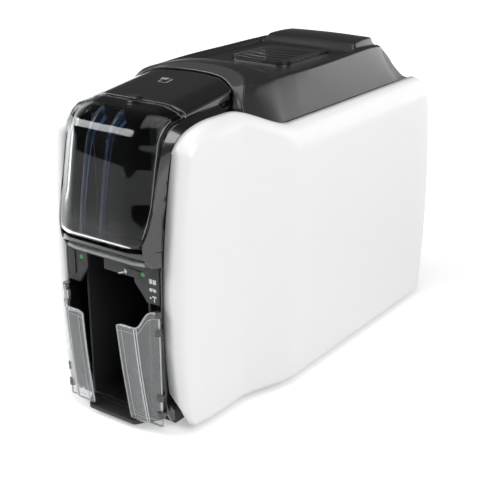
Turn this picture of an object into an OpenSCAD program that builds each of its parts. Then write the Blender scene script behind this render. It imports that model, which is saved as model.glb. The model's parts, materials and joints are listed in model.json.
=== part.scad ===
// Desktop card printer: flared side panels, a clear card hopper above clear output wings,
// a hinged top lid that carries the print head, and the card and ribbon drive inside.
// The front faces -Y, +Z is up, and the origin is on the table under the middle of the body.

/* [Overall] */
// Depth from the hopper window to the rear panel
body_depth = 368; // [360:1:376]
// Width over the two side panels at the rear
body_width = 157; // [153:1:161]
// Height of the panels at the front above the table
shoulder_height = 224.5; // [223:0.5:228]
// Height of the panels beside the lid
rear_height = 208; // [206:0.5:209]

/* [Side panels] */
// Width over the two side panels at the front
front_width = 129; // [127:1:132]
// Wall of the mouldings
panel_wall = 2.5; // [2:0.1:3]
// Set-back of the panel edges behind the window
panel_setback = 18; // [17:0.5:19]
// Where the flare starts, behind the window
flare_start = 80; // [76:1:84]
// Length of the flare
flare_length = 56; // [50:1:60]
// How far the rounded edges turn in
edge_depth = 13.3; // [13:0.1:14]
// Width of the rounding along the front edge
front_round = 6; // [5:0.5:8]
// Width of the rounding along the rear edge
rear_round = 36; // [30:1:40]
// Gap between the panels' lower edge and the table
panel_lift = 4; // [3.5:0.5:5]

/* [Front] */
// Outer width of the hopper cover
cover_width = 86.2; // [86:0.1:86.4]
// Width of the flat middle facet at the window's lower end
facet_width = 53; // [50:1:56]
// Wall of the clear window
window_wall = 2.4; // [2:0.1:2.6]
// Lower edge of the window
window_bottom = 143; // [142.5:0.5:143.5]
// Joint between the upper bezel and the control fascia
fascia_top = 129; // [128:0.5:130]
// Lower edge of the fascia cheeks
cheek_bottom = 101; // [99:1:104]
// Gap between neighbouring covers
cover_gap = 0.6; // [0.4:0.1:0.8]

/* [Output wings] */
// Height of a wing at its front corner
wing_height = 87; // [82:1:90]
// Height of a wing at its hinge
wing_back_height = 98; // [96:1:99]
// Lower end of a wing
wing_bottom = 7.5; // [7:0.5:9]
// Wall of a wing
wing_wall = 2.2; // [2:0.1:2.4]
// Diameter of the pins in the wing hinges
wing_pin = 2.4; // [2:0.1:2.6]

/* [Top lid] */
// Height of the lid's crest
lid_height = 245; // [244:0.5:246]
// Height of the lid's recessed floor
lid_floor = 235.5; // [235:0.5:236]
// Height of the grip block
block_height = 244; // [243:0.5:244.5]
// Wall of the lid
lid_wall = 2.6; // [2.4:0.1:2.8]
// Length of the release grip
grip_length = 70; // [66:1:74]
// Width of the release grip
grip_width = 54; // [48:1:56]

/* [Card path] */
// Width of a card
card_width = 54; // [53.5:0.1:54.5]
// Side play of a card in the hopper and the bin
card_play = 1.2; // [1:0.1:1.5]
// Height of the path on which cards travel
path_height = 137; // [136.5:0.5:137.5]
// Radius of the rubber rollers
roller_radius = 8; // [7.5:0.1:8.2]
// Diameter of the roller shafts
shaft_diameter = 5; // [4:0.5:6]
// Running clearance of a shaft in its bearing, as a radius
shaft_fit = 0.05; // [0.03:0.01:0.1]

/* [Gears] */
// Tooth size (pitch diameter over teeth)
gear_module = 1; // [0.9:0.05:1.05]
// Teeth on the roller and idler gears
roller_teeth = 24; // [22:2:26]
// Teeth on the motor pinions
pinion_teeth = 12; // [10:2:12]
// Teeth on the ribbon drive gear
ribbon_teeth = 30; // [28:2:30]
// Face width of the gears
gear_face = 6; // [5:0.5:7]

/* [Ribbon] */
// Height of the spool axes
spool_height = 182; // [181:0.5:183]
// Radius of the full supply roll
supply_radius = 17; // [14:0.5:17.5]
// Radius of the take-up roll
takeup_radius = 10; // [8:0.5:11]

/* [Feet and fixings] */
// Diameter of the rubber feet
foot_diameter = 16; // [12:1:18]
// Thickness of the steel frame plates
plate = 1.5; // [1.2:0.1:2]
// Diameter of the case screws
screw_diameter = 3; // [2.5:0.5:3.5]

/* [Hidden] */
$fn = 48;

front_y = -body_depth/2;
rear_y = body_depth/2;
panel_front = front_y + panel_setback;
flare_y = front_y + flare_start;
front_half = front_width/2;
rear_half = body_width/2;
front_taper = 6.3;
taper_y = front_y + 59;
front_corner = [45, 17];
rear_corner = [36, 30];
front_foot_corner = [12, 28];
rear_foot_corner = [16, 22];
bow_reach = 60;
bottom_depth = 5;
bottom_round = 6;
top_round_front = 12;
top_round_rear = 21;
bow_front = 0.00075;
bow_front_z = 90;
bow_rear = 0.00116;

cover_half = cover_width/2;
facet_half = facet_width/2;
face_slope = 0.13;
face_bow = 0.00092;
face_z = 148;
face_end_z = 212;
curl_radius = 5;
brow_radius = 27.3;
brow_end = 83.2;
top_slope = tan(90 - brow_end);
window_rear = front_y + 48;
hood_rear = front_y + 111.5;
hood_rear_bow = 11;
facet_spread = 3.4;
window_inset = 1.6;
window_foot_inset = 4.8;
foot_drop = 4.2;
front_drop = 10.4;
top_drop = 4.7;
skirt_depth = 14;
hood_wall = 2.2;
fin_places = [-14, 4];
fin_wall = 1.4;
fin_depth = [4.5, 13];
pivot_y = front_y + 92;
pivot_z = shoulder_height + 5;
pivot_pin = 3;

front_rim = front_half - front_taper - edge_depth;
bezel_in = cover_half + 0.35;
bezel_out = bezel_in + 1.45;
fascia_y = front_y + 16;
fascia_half = bezel_in - 0.25;
led_x = 29;
led_z = fascia_top - 8;
led_radius = 1.6;
button_x = -38.8;
button_z = fascia_top - 13;
button_size = [7.4, 21];

wing_axis_x = front_rim - 1.7;
wing_axis_y = front_y + 14;
wing_lean = 0.07;
wing_bow = 0.0006;
wing_splay = 0.025;
knuckle_radius = 3;
knuckle_z = [[20, 28], [85, 93]];

bin_half = card_width/2 + card_play;
bin_wall = 2;
bin_floor = 10;
bin_ceiling = fascia_top - 12;
bin_front = fascia_y + 5.4;
bin_back = front_y + 104;
hopper_back = front_y + 94;
hopper_front = front_y + 28;
hopper_top = shoulder_height - 3;

plate_x = 40;
gear_pitch_radius = gear_module*roller_teeth/2;
pinion_radius = gear_module*pinion_teeth/2;
ribbon_radius = gear_module*ribbon_teeth/2;
roller_pitch = 4*gear_pitch_radius;
platen_y = 40;
roller_z = path_height - roller_radius;
gear_x = plate_x + plate + 4.5;
mesh_gap = 0.15;
tooth_width = 0.46;
pick_half = 14;
motor_size = 28;
drive_motor_y = platen_y + 2*gear_pitch_radius;
drive_motor_z = roller_z - gear_pitch_radius - pinion_radius - mesh_gap;
supply_y = -8;
takeup_y = 78;
ribbon_motor_z = spool_height - ribbon_radius - pinion_radius - mesh_gap;
deck_front = hopper_back + 4;
deck_back = 128;

lid_axis_y = rear_y - 40;
lid_axis_z = rear_height - 5;
lid_pin = 4;
lid_back = lid_axis_y + 1;
latch_bar = [-42, 184];
crest_front = front_y + 130;
crest_bow = 8;
crest_foot = 53;
crest_sweep = 18.7;
release_y = 8;
deck_lip = 14;

shell_black = "#17181b";
trim_grey = "#4a4e54";
fascia_grey = "#2c2f33";
shell_white = "#f0f1f2";
steel = "#b5b9bd";
rubber = "#26262a";
clear_grey = [0.75, 0.8, 0.84, 0.45];

// ---- helpers ----
function lerp(a, b, t) = a + (b - a)*t;
function polar(r, a) = [r*cos(a), r*sin(a)];
function smooth(t) = let (u = max(0, min(1, t))) u*u*(3 - 2*u);
function corner_drop(d, size) =
    d >= size[0] ? 0 : size[1]*(1 - sqrt(max(0, 1 - pow(1 - max(0, d)/size[0], 2))));
function fall(d, w, n) = d >= w ? 0 : 1 - pow(1 - pow(1 - max(0, d)/w, n), 1/n);
function norm12(list) = pow([for (v = list) pow(v, 12)] * [for (v = list) 1], 1/12);

// A closed sheet between two grids of points. Rows run to the right and points run up,
// seen from the side that the first grid faces.
module sheet(outer, inner) {
    nv = len(outer[0]);
    n = len(outer)*nv;
    last = n - nv;
    points = [for (row = concat(outer, inner)) each row];
    skins = [for (i = [0:len(outer) - 2], j = [0:nv - 2])
        let (a = i*nv + j, d = a + nv)
        each [[a, a + 1, d + 1], [a, d + 1, d], [a + n, d + n, d + 1 + n], [a + n, d + 1 + n,
            a + 1 + n]]];
    long_rims = [for (i = [0:len(outer) - 2])
        let (a = i*nv, d = a + nv, t = d - 1, u = t + nv)
        each [[a, d, d + n], [a, d + n, a + n], [u, t, t + n], [u, t + n, u + n]]];
    short_rims = [for (j = [0:nv - 2])
        let (b = j + 1, c = last + j)
        each [[b, j, j + n], [b, j + n, b + n], [c, c + 1, c + 1 + n], [c, c + 1 + n, c + n]]];
    polyhedron(points = points, faces = concat(skins, long_rims, short_rims));
}

// A rod along X from x0 to x1
module x_rod(x0, x1, r, y = 0, z = 0) {
    translate([x0, y, z]) rotate([0, 90, 0]) cylinder(h = x1 - x0, r = r);
}

// A flat side shape drawn in (y, z), from x0 to x1
module side_slab(x0, x1) {
    translate([x0, 0, 0]) rotate([90, 0, 90]) linear_extrude(x1 - x0) children();
}

// A rounded rectangle in the plane
module round_rect(size, r) {
    for (sx = [-1, 1], sy = [-1, 1])
        translate([sx*(size[0]/2 - r), sy*(size[1]/2 - r)]) circle(r);
    square([size[0] - 2*r, size[1]], center = true);
    square([size[0], size[1] - 2*r], center = true);
}

// ---- side panels ----
function half_width(y) =
    front_half - front_taper*pow(max(0, (taper_y - y)/(taper_y - panel_front)), 2)
    + (rear_half - front_half)*smooth((y - flare_y)/flare_length);
function top_line(y) = lerp(shoulder_height, rear_height, smooth((y - flare_y - 4)/flare_length));
function panel_top(y) =
    top_line(y) - corner_drop(y - panel_front, front_corner) - corner_drop(rear_y - y, rear_corner);
function panel_bottom(y) =
    panel_lift + corner_drop(y - panel_front, front_foot_corner) + corner_drop(rear_y - y,
        rear_foot_corner);
function bow(y, z) =
    bow_front*pow(z - bow_front_z, 2)*pow(max(0, 1 - (y - panel_front)/bow_reach), 2)
    - bow_rear*pow(z - 85, 2)*pow(max(0, 1 - (rear_y - y)/bow_reach), 2);

panel_stations = concat(
    [for (i = [0:7]) panel_front + front_corner[0]*(1 - cos(90*i/8))],
    [for (i = [0:7]) lerp(panel_front + front_corner[0], flare_y + flare_length, i/8)],
    [for (i = [0:3]) lerp(flare_y + flare_length, rear_y - rear_corner[0], i/4)],
    [for (i = [0:6]) rear_y - rear_corner[0]*(1 - sin(90*i/6))]);

function panel_z(j, top, bottom, tr) =
    j < 3 ? bottom + bottom_round*(1 - cos(30*j))
    : j < 6 ? lerp(bottom + bottom_round, top - tr, (j - 3)/3)
    : top - tr*cos(15*(j - 6));
function panel_x(y, z, top, bottom, inset) =
    let (depth = edge_depth - inset,
        tr = lerp(top_round_front, top_round_rear, smooth((y - flare_y)/flare_length)))
    half_width(y + bow(y, z)) - inset - norm12([
        depth*fall(y - panel_front - inset, front_round, 2),
        depth*fall(rear_y - inset - y, rear_round, 2),
        depth*fall(top - z, tr, 1.8),
        (bottom_depth - inset)*fall(z - bottom, bottom_round, 2)]);
function panel_point(y0, j, inset) =
    let (y = lerp(panel_front + inset, rear_y - inset, (y0 - panel_front)/(rear_y - panel_front)),
        top = panel_top(y0) - inset, bottom = panel_bottom(y0) + inset,
        tr = lerp(top_round_front, top_round_rear, smooth((y0 - flare_y)/flare_length)),
        z = panel_z(j, top, bottom, tr))
    [panel_x(y, z, top, bottom, inset), y + bow(y, z), z];

panel_bosses = [[-20, 40], [-20, 150], [118, 12.5], [118, 150]];
boss_radius = 4;
boss_seat = plate_x + plate + 0.3;

module side_panel() {
    color(shell_white) difference() {
        union() {
            sheet([for (y = panel_stations) [for (j = [0:12]) panel_point(y, j, 0)]],
                [for (y = panel_stations) [for (j = [0:12]) panel_point(y, j, panel_wall)]]);
            for (b = panel_bosses)
                x_rod(boss_seat, half_width(b[0]) - panel_wall/2, boss_radius, b[0], b[1]);
        }
        for (b = panel_bosses)
            x_rod(boss_seat - 1, boss_seat + 12, screw_diameter/2 + 0.05, b[0], b[1]);
    }
}

module right_side_panel() { side_panel(); }
module left_side_panel() { mirror([1, 0, 0]) side_panel(); }

// ---- base ----
function base_half(y) = y < front_y + 42 ? bezel_out : half_width(y) - bottom_depth - 2*cover_gap;
base_back = rear_y - rear_foot_corner[0] - 4;
base_rows = concat([for (d = [27.4, 41.9, 42.1, 52, 64]) front_y + d],
    [for (t = [0:0.125:1]) flare_y + t*flare_length], [base_back]);
foot_places = [[38, front_y + 50], [60, rear_y - 50]];
base_floor = 3;

module base_outline(inset = 0) {
    edge = [for (y = base_rows)
        [base_half(y) - inset, min(max(y, base_rows[0] + inset), base_back - inset)]];
    polygon(concat(edge, [for (k = [len(edge) - 1:-1:0]) [-edge[k][0], edge[k][1]]]));
}

module base_tray() {
    wall_top = 18;
    color(fascia_grey) difference() {
        union() {
            translate([0, 0, panel_lift]) linear_extrude(base_floor) base_outline();
            translate([0, 0, panel_lift]) linear_extrude(wall_top - panel_lift) difference() {
                base_outline();
                base_outline(2);
                translate([-bin_half - 3, front_y]) square([2*bin_half + 6, 60]);
            }
            // front tongue between the wings
            translate([0, 0, panel_lift]) linear_extrude(base_floor) hull() {
                for (s = [-1, 1]) translate([s*20, front_y + 12]) circle(4);
                for (s = [-1, 1]) translate([s*34, front_y + 34]) circle(4);
            }
            translate([-22, front_y + 20, panel_lift])
                cube([44, 20, bin_floor - panel_lift - bin_wall - 0.2]);
        }
        for (s = [-1, 1], p = foot_places)
            translate([s*p[0], p[1], panel_lift - 1]) cylinder(h = 2, d = foot_diameter + 0.4);
        // passage for the lower bosses of the side panels
        x_rod(-rear_half, rear_half, boss_radius + 0.4, panel_bosses[2][0], panel_bosses[2][1]);
    }
}

module rubber_feet() {
    color(rubber) for (s = [-1, 1], p = foot_places) translate([s*p[0], p[1], 0]) rotate_extrude()
        polygon([[0, 0], [foot_diameter/2 - 1, 0], [foot_diameter/2, 1], [foot_diameter/2,
            panel_lift + 1], [0, panel_lift + 1]]);
}

// ---- rear panel ----
deck_steps = 6;
function rear_profile(inset) = concat(
    [for (i = [0:5]) let (z = lerp(panel_lift + rear_foot_corner[1], rear_height - rear_corner[1], i/6))
        [rear_y - inset + bow(rear_y, z), z]],
    [for (i = [0:deck_steps]) let (a = 67.5*i/deck_steps,
        z = rear_height - rear_corner[1] + (rear_corner[1] - inset)*sin(a),
        y = rear_y - rear_corner[0] + (rear_corner[0] - inset)*cos(a))
        [y + bow(y, z), z]]);
rear_half_width = rear_half - edge_depth - cover_gap;
rear_inset = 1.2;
vent_rows = [for (i = [0:9]) 118 + 6*i];
power_place = [50, 30];
usb_place = [48, 62];
network_place = [48, 88];

module rear_panel() {
    outer = rear_profile(rear_inset);
    inner = rear_profile(rear_inset + panel_wall);
    last = len(outer) - 1;
    foot_y = base_back + 1;
    color(fascia_grey) difference() {
        union() {
            side_slab(-rear_half_width, rear_half_width) polygon(concat(
                [[foot_y, panel_lift + 1], [rear_y - 15, panel_lift + 1]], outer,
                [[outer[last][0], outer[last][1] - deck_lip], [outer[last][0] + panel_wall,
                    outer[last][1] - deck_lip]],
                [for (k = [last - 1:-1:0]) inner[k]],
                [[rear_y - 16.5, panel_lift + 1 + panel_wall], [foot_y, panel_lift + 1 + panel_wall]]));
            // side flanges
            for (s = [0, 1]) mirror([s, 0, 0]) side_slab(rear_half_width - 2, rear_half_width)
                polygon(concat(
                [for (k = [0:last - 1]) [outer[k][0] - 0.5, outer[k][1] - 0.5]],
                [for (k = [last - 1:-1:0]) [min(outer[k][0] - 12, rear_y - 18), outer[k][1] - 8]]));
        }
        for (z = vent_rows) translate([-40, rear_y - 20, z]) cube([56, 30, 2.4]);
        translate([power_place[0], rear_y + 5, power_place[1]]) rotate([90, 0, 0])
            cylinder(h = 30, d = 12);
        translate([usb_place[0] - 6.6, rear_y - 25, usb_place[1] - 6]) cube([13.2, 40, 12]);
        translate([network_place[0] - 8.4, rear_y - 25, network_place[1] - 7]) cube([16.8, 40, 14]);
        translate([-52, rear_y - 20, 40]) cube([7, 40, 3]);
    }
}

// ---- front bezel, fascia and lights ----
function face_y(z) = let (d = max(z, face_z) - face_z) front_y + face_slope*d + face_bow*d*d;
function face_angle(z) = atan(face_slope + 2*face_bow*(max(z, face_z) - face_z));
brow_start = face_angle(face_end_z);
brow_y = face_y(face_end_z) + brow_radius*cos(brow_start);
brow_z = face_end_z - brow_radius*sin(brow_start);
function cover_top(y) =
    brow_z + brow_radius*sin(brow_end) + top_slope*(y - brow_y + brow_radius*cos(brow_end));

// Front faces of the pillars: inner x, y, z, then outer x, y, z and the angle of the face
pillar_rows = [
    [38, -172.5, 129.6, 44.9, -164.4, 129.6, 0], [38.2, -176.8, 138, 44.9, -164, 138, 0],
    [38.3, -177.8, 146, 44.9, -163.6, 146, 2], [39.6, -176.4, 151, 44.9, -163, 151, 5],
    [41.3, -173.4, 160, 45.2, -161.5, 160, 10], [42.1, -170.6, 170, 46, -160.4, 170, 12],
    [42.1, -168.2, 180, 46.3, -159.4, 180, 13], [42.1, -166.1, 190, 46.6, -158.2, 190, 14],
    [42.1, -163.8, 200, 47, -156.4, 200, 16], [42.3, -160.6, 210, 47.6, -153.4, 209, 22],
    [42.6, -157.6, 216, 48.4, -149.5, 214.5, 35], [43.1, -153.5, 221, 49.5, -142, 219, 52],
    [43.45, -146, 224.6, 50.3, -132, 221.6, 66], [43.45, -136, 226.4, 50.6, -122, 222.6, 76],
    [43.45, -118, 227.6, 50.6, -110, 223, 82], [43.45, -98, 228, 50.9, -96, 222, 84]];

module pillar() {
    wall = 1.8;
    grow = cover_half - 43.1;
    outer = [for (r = pillar_rows) [[r[0] + grow, r[1], r[2]], [r[3], r[4], r[5]]]];
    inner = [for (r = pillar_rows) let (dy = wall*cos(r[6]), dz = -wall*sin(r[6]))
        [[r[0] + grow, r[1] + dy, r[2] + dz], [r[3], r[4] + dy, r[5] + dz]]];
    sheet([for (k = [0, 1]) [for (r = outer) r[k]]], [for (k = [0, 1]) [for (r = inner) r[k]]]);
    side_slab(bezel_in, bezel_out) polygon([
        [front_y + 23.5, panel_lift + base_floor], [front_y + 19, 16], [front_y + 17, 30],
        [front_y + 17, fascia_top - 4], [front_y + 18.6, fascia_top + 2], [front_y + 19.6, 146],
        [front_y + 22, 160], [front_y + 24, 180], [front_y + 27, 200], [front_y + 30.5, 211],
        [front_y + 35, 217], [front_y + 43, 222], [front_y + 54, 224], [front_y + 98, 225.4],
        [front_y + 98, 212], [front_y + 46, 209], [front_y + 34, 202], [front_y + 28, 180],
        [front_y + 26, 60], [front_y + 27, panel_lift + base_floor]]);
}

module wing_lug(z0, z1) {
    difference() {
        union() {
            translate([wing_axis_x, wing_axis_y, z0]) cylinder(h = z1 - z0, r = knuckle_radius);
            translate([wing_axis_x + 0.6, wing_axis_y - 1.2, z0])
                cube([bezel_out - 0.65 - wing_axis_x, 8, z1 - z0]);
        }
        translate([wing_axis_x, wing_axis_y, z0 - 1]) rotate(37)
            cylinder(h = z1 - z0 + 2, d = wing_pin + 0.04);
    }
}

// Plan of a part that follows the window's lower edge, with its flat middle at y = front
module facet_plan(front, back, half) {
    foot = cover_half - window_inset - window_foot_inset + 1;
    lean = foot_drop + (half > foot ? 0 : -foot_drop*(foot - half)/(foot - facet_half));
    polygon([[-half, back], [-half, front + lean + max(0, half - foot)*1.4], [-min(half, foot),
        front + lean],
        [-facet_half, front], [facet_half, front], [min(half, foot), front + lean],
        [half, front + lean + max(0, half - foot)*1.4], [half, back]]);
}

module front_bezel() {
    bar_back = hopper_front - 0.4;
    bar_front = front_y + 3.4;
    color(shell_black) union() {
        for (s = [0, 1]) mirror([s, 0, 0]) {
            pillar();
            for (k = knuckle_z) {
                wing_lug(k[0] - 5.3, k[0] - 0.3);
                wing_lug(k[1] + 0.3, k[1] + 5.3);
            }
            // ledge that closes the gap to the panel rim
            translate([0, 0, shoulder_height - 12]) linear_extrude(3) polygon(concat(
                [for (y = [front_y + 47, front_y + 60, front_y + 72, flare_y + 3, flare_y + 16])
                    [half_width(y) - edge_depth - cover_gap, y]],
                [[bezel_in + 1, flare_y + 16], [bezel_in + 1, front_y + 47]]));
        }
        // crossbar under the window
        intersection() {
            translate([0, 0, fascia_top]) linear_extrude(14) facet_plan(bar_front, bar_back, bezel_out);
            side_slab(-bezel_out, bezel_out) polygon([[bar_front, window_bottom - 2.6],
                [bar_front, window_bottom - 5], [bar_front + 9, fascia_top + 4], [bar_front + 9,
                    fascia_top + 0.3],
                [bar_back, fascia_top + 0.3], [bar_back, window_bottom - 2.6]]);
        }
    }
}

module cheek_outline() {
    difference() {
        translate([-fascia_half, cheek_bottom]) square([2*fascia_half, fascia_top - cheek_bottom]);
        polygon([[-31, cheek_bottom - 1], [-31, cheek_bottom + 1.5], [-23, fascia_top - 15], [-23,
            fascia_top - 4],
            [-7, fascia_top - 4], [-7, fascia_top - 12], [21, fascia_top - 12], [21, fascia_top - 15],
            [31, cheek_bottom + 1.5], [31, cheek_bottom - 1]]);
    }
}

module button_outline(grow) {
    for (s = [-1, 1]) translate([button_x, button_z + s*(button_size[1] - button_size[0])/2])
        circle(button_size[0]/2 + grow);
    translate([button_x - button_size[0]/2 - grow, button_z - (button_size[1] - button_size[0])/2])
        square([button_size[0] + 2*grow, button_size[1] - button_size[0]]);
}

module front_slab(y0, y1) {
    translate([0, y1, 0]) rotate([90, 0, 0]) linear_extrude(y1 - y0) children();
}

module control_fascia() {
    color(fascia_grey) difference() {
        front_slab(fascia_y, fascia_y + 3) cheek_outline();
        front_slab(fascia_y - 1, fascia_y + 4) button_outline(0.35);
        for (s = [-1, 1]) translate([s*led_x, fascia_y + 4, led_z]) rotate([90, 0, 0])
            cylinder(h = 6, r = led_radius + 0.05);
    }
}

module light_bar() {
    bar_front = front_y + 7;
    bar_back = front_y + 12;
    color(clear_grey) intersection() {
        translate([0, 0, fascia_top + 0.6]) linear_extrude(3.2) facet_plan(bar_front, bar_back, 36);
        side_slab(-50, 50) polygon([[bar_front, fascia_top + 1.6], [bar_back, fascia_top + 0.6],
            [bar_back, fascia_top + 3.6], [bar_front + 1, fascia_top + 3.8]]);
    }
}

module status_lights() {
    color("#2f9c3d") for (s = [-1, 1]) translate([s*led_x, fascia_y + 5, led_z]) rotate([90, 0, 0]) {
        cylinder(h = 5, r = led_radius);
        cylinder(h = 1.8, r = led_radius + 0.7);
    }
}

module power_button() {
    color(fascia_grey) union() {
        front_slab(fascia_y - 0.6, fascia_y + 3.2) button_outline(0);
        front_slab(fascia_y + 3.2, fascia_y + 4.4) button_outline(0.6);
    }
}

// ---- output bin and wings ----
module output_bin() {
    out = bin_half + bin_wall;
    color(shell_black) difference() {
        translate([-out, bin_front, bin_floor - bin_wall])
            cube([2*out, bin_back - bin_front, bin_ceiling - bin_floor + 2*bin_wall]);
        translate([-bin_half, bin_front - 1, bin_floor])
            cube([2*bin_half, bin_back - bin_front - bin_wall + 1, bin_ceiling - bin_floor]);
        translate([-bin_half, bin_back - bin_wall - 1, bin_ceiling - 14])
            cube([2*bin_half, bin_wall + 2, 8]);
        translate([-bin_half, bin_front - 1, bin_ceiling - 1]) cube([2*bin_half, 14, bin_wall + 2]);
    }
    color(shell_black) for (s = [-1, 1]) translate([s*14 - 1, bin_front + 2, bin_floor])
        cube([2, bin_back - bin_front - 12, 1.2]);
}

// Plan of a wing: x, distance behind the front and share of the lean
wing_path = [[16.4, 0, 1], [22, 0, 1], [28.5, 0, 1], [31.4, 0.4, 1], [33.8, 1.8, 0.95],
    [37.4, 5, 0.7], [40.8, 8.2, 0.4], [43.9, 11.4, 0.12], [45.2, 14, 0]];
wing_inside = [[16.4, 1, 1], [22, 1, 1], [28.1, 1, 1], [30.4, 1.2, 1], [32.4, 2.4, 0.95],
    [35.8, 5.4, 0.7], [39.2, 8.7, 0.4], [42.1, 11.8, 0.12], [43.2, 14, 0]];
wing_levels = [0, 0.06, 0.14, 0.26, 0.4, 0.55, 0.7, 0.86, 1];
function wing_top(x) = lerp(wing_height, wing_back_height, smooth((x - 33)/7));
function wing_point(p, t) =
    let (z = lerp(wing_bottom + max(0, 1.5*(p[2] - 0.3)), wing_top(p[0]) - 1.5*max(0,
        1 - abs(p[0] - 16.4)/4), t),
        down = max(0, wing_height - z))
    [p[0] + wing_axis_x - 43.2 + wing_splay*p[2]*down,
        front_y + p[1] + p[2]*(wing_lean*down + wing_bow*down*down), z];

module wing() {
    inner = [for (k = [0:8]) let (y = wing_path[k][1])
        [wing_inside[k][0], y + (wing_inside[k][1] - y)*wing_wall, wing_inside[k][2]]];
    color(clear_grey) difference() {
        union() {
            sheet([for (p = wing_path) [for (t = wing_levels) wing_point(p, t)]],
                [for (p = inner) [for (t = wing_levels) wing_point(p, t)]]);
            for (k = knuckle_z) translate([wing_axis_x, wing_axis_y, k[0]])
                cylinder(h = k[1] - k[0], r = knuckle_radius);
        }
        translate([wing_axis_x, wing_axis_y, 0]) cylinder(h = wing_back_height + 10, d = wing_pin + 0.1);
        for (k = knuckle_z, z = [k[0] - 5.8, k[1]])
            translate([wing_axis_x, wing_axis_y, z]) cylinder(h = 5.8, r = knuckle_radius + 0.4);
    }
}

module right_wing() { wing(); }
module left_wing() { mirror([1, 0, 0]) wing(); }

module wing_pins() {
    color(steel) for (s = [-1, 1], k = knuckle_z)
        translate([s*wing_axis_x, wing_axis_y, k[0] - 5.3])
            cylinder(h = k[1] - k[0] + 10.6, d = wing_pin);
}

// ---- card hopper and its cover ----
module card_hopper() {
    out = bin_half + bin_wall;
    ear_x = [34.5, 38];
    color(shell_black) difference() {
        union() {
            translate([-out, hopper_front, path_height - 2.5])
                cube([2*out, hopper_back - hopper_front + bin_wall, 2.5]);
            for (s = [-1, 1]) translate([s > 0 ? bin_half : -out, hopper_front + 8, path_height - 2.5])
                cube([bin_wall, hopper_back - hopper_front - 8 + bin_wall,
                    hopper_top - path_height + 2.5]);
            translate([-out, hopper_back, path_height + 1.6])
                cube([2*out, bin_wall, hopper_top - path_height - 14]);
            // pivot ears for the hood
            for (s = [0, 1]) mirror([s, 0, 0]) {
                translate([bin_half, pivot_y - 5, hopper_top - 14]) cube([ear_x[1] - bin_half, 10, 6]);
                translate([ear_x[0], pivot_y - 4, hopper_top - 14])
                    cube([ear_x[1] - ear_x[0], 8, pivot_z - hopper_top + 14]);
                x_rod(ear_x[0], ear_x[1], 3.6, pivot_y, pivot_z);
            }
        }
        x_rod(-ear_x[1] - 1, ear_x[1] + 1, pivot_pin/2 + 0.02, pivot_y, pivot_z);
        // window for the pick roller
        translate([-pick_half - 1, roller_places[0] - roller_radius, path_height - 4])
            cube([2*pick_half + 2, 2*roller_radius, 5]);
    }
}

function cover_station(k) =
    let (c = window_bottom + curl_radius*sin(65), a = k < 5 ? 13*k - 65 : lerp(brow_start, brow_end,
        (k - 10)/6),
        z = lerp(c, face_end_z, (k - 5)/5))
    k < 5 ? [front_y + curl_radius*(1 - cos(a)), c + curl_radius*sin(a), a]
    : k < 10 ? [face_y(z), z, face_angle(z)]
    : [brow_y - brow_radius*cos(a), brow_z + brow_radius*sin(a), a];
function share(v, v0, v1) = max(0, min(1, (v - v0)/(v1 - v0)));
function drop_at(k) = k > 10 ? lerp(front_drop, top_drop, (k - 10)/6)
    : lerp(foot_drop, front_drop, share(cover_station(k)[1], 145, 175));
function side_at(k) = k < 5 ? lerp(8, 9, k/5) : lerp(9, skirt_depth, share(k, 5, 8));
function half_at(k) = cover_half - window_inset*share(16 - k, 0, 6)
    - window_foot_inset*pow(share(cover_station(k)[1], 170, 145), 2);
function facet_at(k) = facet_half + facet_spread*share(k, 8, 17);
function cover_section(drop, side, half, facet) = [
    [half, side], [half, drop + 0.6], [half - 1.6, drop - 0.5],
    [facet + 1.5, 0.3], [facet - 1.5, 0], [facet/3, 0], [-facet/3, 0], [1.5 - facet, 0], [-facet - 1.5,
        0.3],
    [1.6 - half, drop - 0.5], [-half, drop + 0.6], [-half, side]];
function cover_inside(drop, side, half, facet, t) = [
    [half - t, side], [half - t, drop + 0.6 + 0.4*t], [half - 1.6 - 0.7*t, drop - 0.5 + 0.75*t],
    [facet + 1.1, 0.3 + 0.95*t], [facet - 1.6, t], [facet/3, t], [-facet/3, t], [1.6 - facet, t],
    [-facet - 1.1, 0.3 + 0.95*t],
    [1.6 - half + 0.7*t, drop - 0.5 + 0.75*t], [t - half, drop + 0.6 + 0.4*t], [t - half, side]];
// A section set across the cover at a station; in the lower curl the turn fades with depth
function place_cover(s, section) = [for (p = section)
    let (a = s[2] < 0 ? s[2]*max(0, 1 - p[1]/curl_radius) : s[2])
    [p[0], s[0] + p[1]*cos(a), s[1] - p[1]*sin(a)]];
function top_station(y) = [y, cover_top(y), brow_end];

window_rows = concat(
    [for (k = [0:16]) [cover_station(k), drop_at(k), side_at(k), half_at(k), facet_at(k)]],
    [[top_station(window_rear), top_drop, skirt_depth, cover_half, facet_at(17)]]);

// Point behind the window's outer face at a station
function behind(s, d) = [s[0] + d*cos(s[2]), s[1] - d*sin(s[2])];

module hopper_window() {
    color(clear_grey) {
        sheet([for (r = window_rows) place_cover(r[0], cover_section(r[1], r[2], r[3], r[4]))],
            [for (r = window_rows) place_cover(r[0], cover_inside(r[1], r[2], r[3], r[4], window_wall))]);
        // guide fins that keep the cards off the window
        for (x = fin_places) side_slab(x - fin_wall/2, x + fin_wall/2) polygon(concat(
            [for (k = [5:15]) behind(cover_station(k), window_wall - 0.6)],
            [for (k = [15:-1:5]) behind(cover_station(k), window_wall + fin_depth[0]
                + (fin_depth[1] - fin_depth[0])*pow(share(k, 7, 13), 2))]));
    }
}

function hood_end(x, low) = hood_rear - hood_rear_bow*pow(abs(x)/cover_half, 2) - (low ? 2.5 : 0);
hood_steps = [0, 0.25, 0.5, 0.75, 1];
function hood_row(t, section) = [for (p = section)
    let (y = lerp(window_rear + 0.4, hood_end(p[0], p[1] > top_drop + 1), t))
    [p[0], y + p[1]*cos(brow_end), cover_top(y) - p[1]*sin(brow_end)]];

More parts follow.
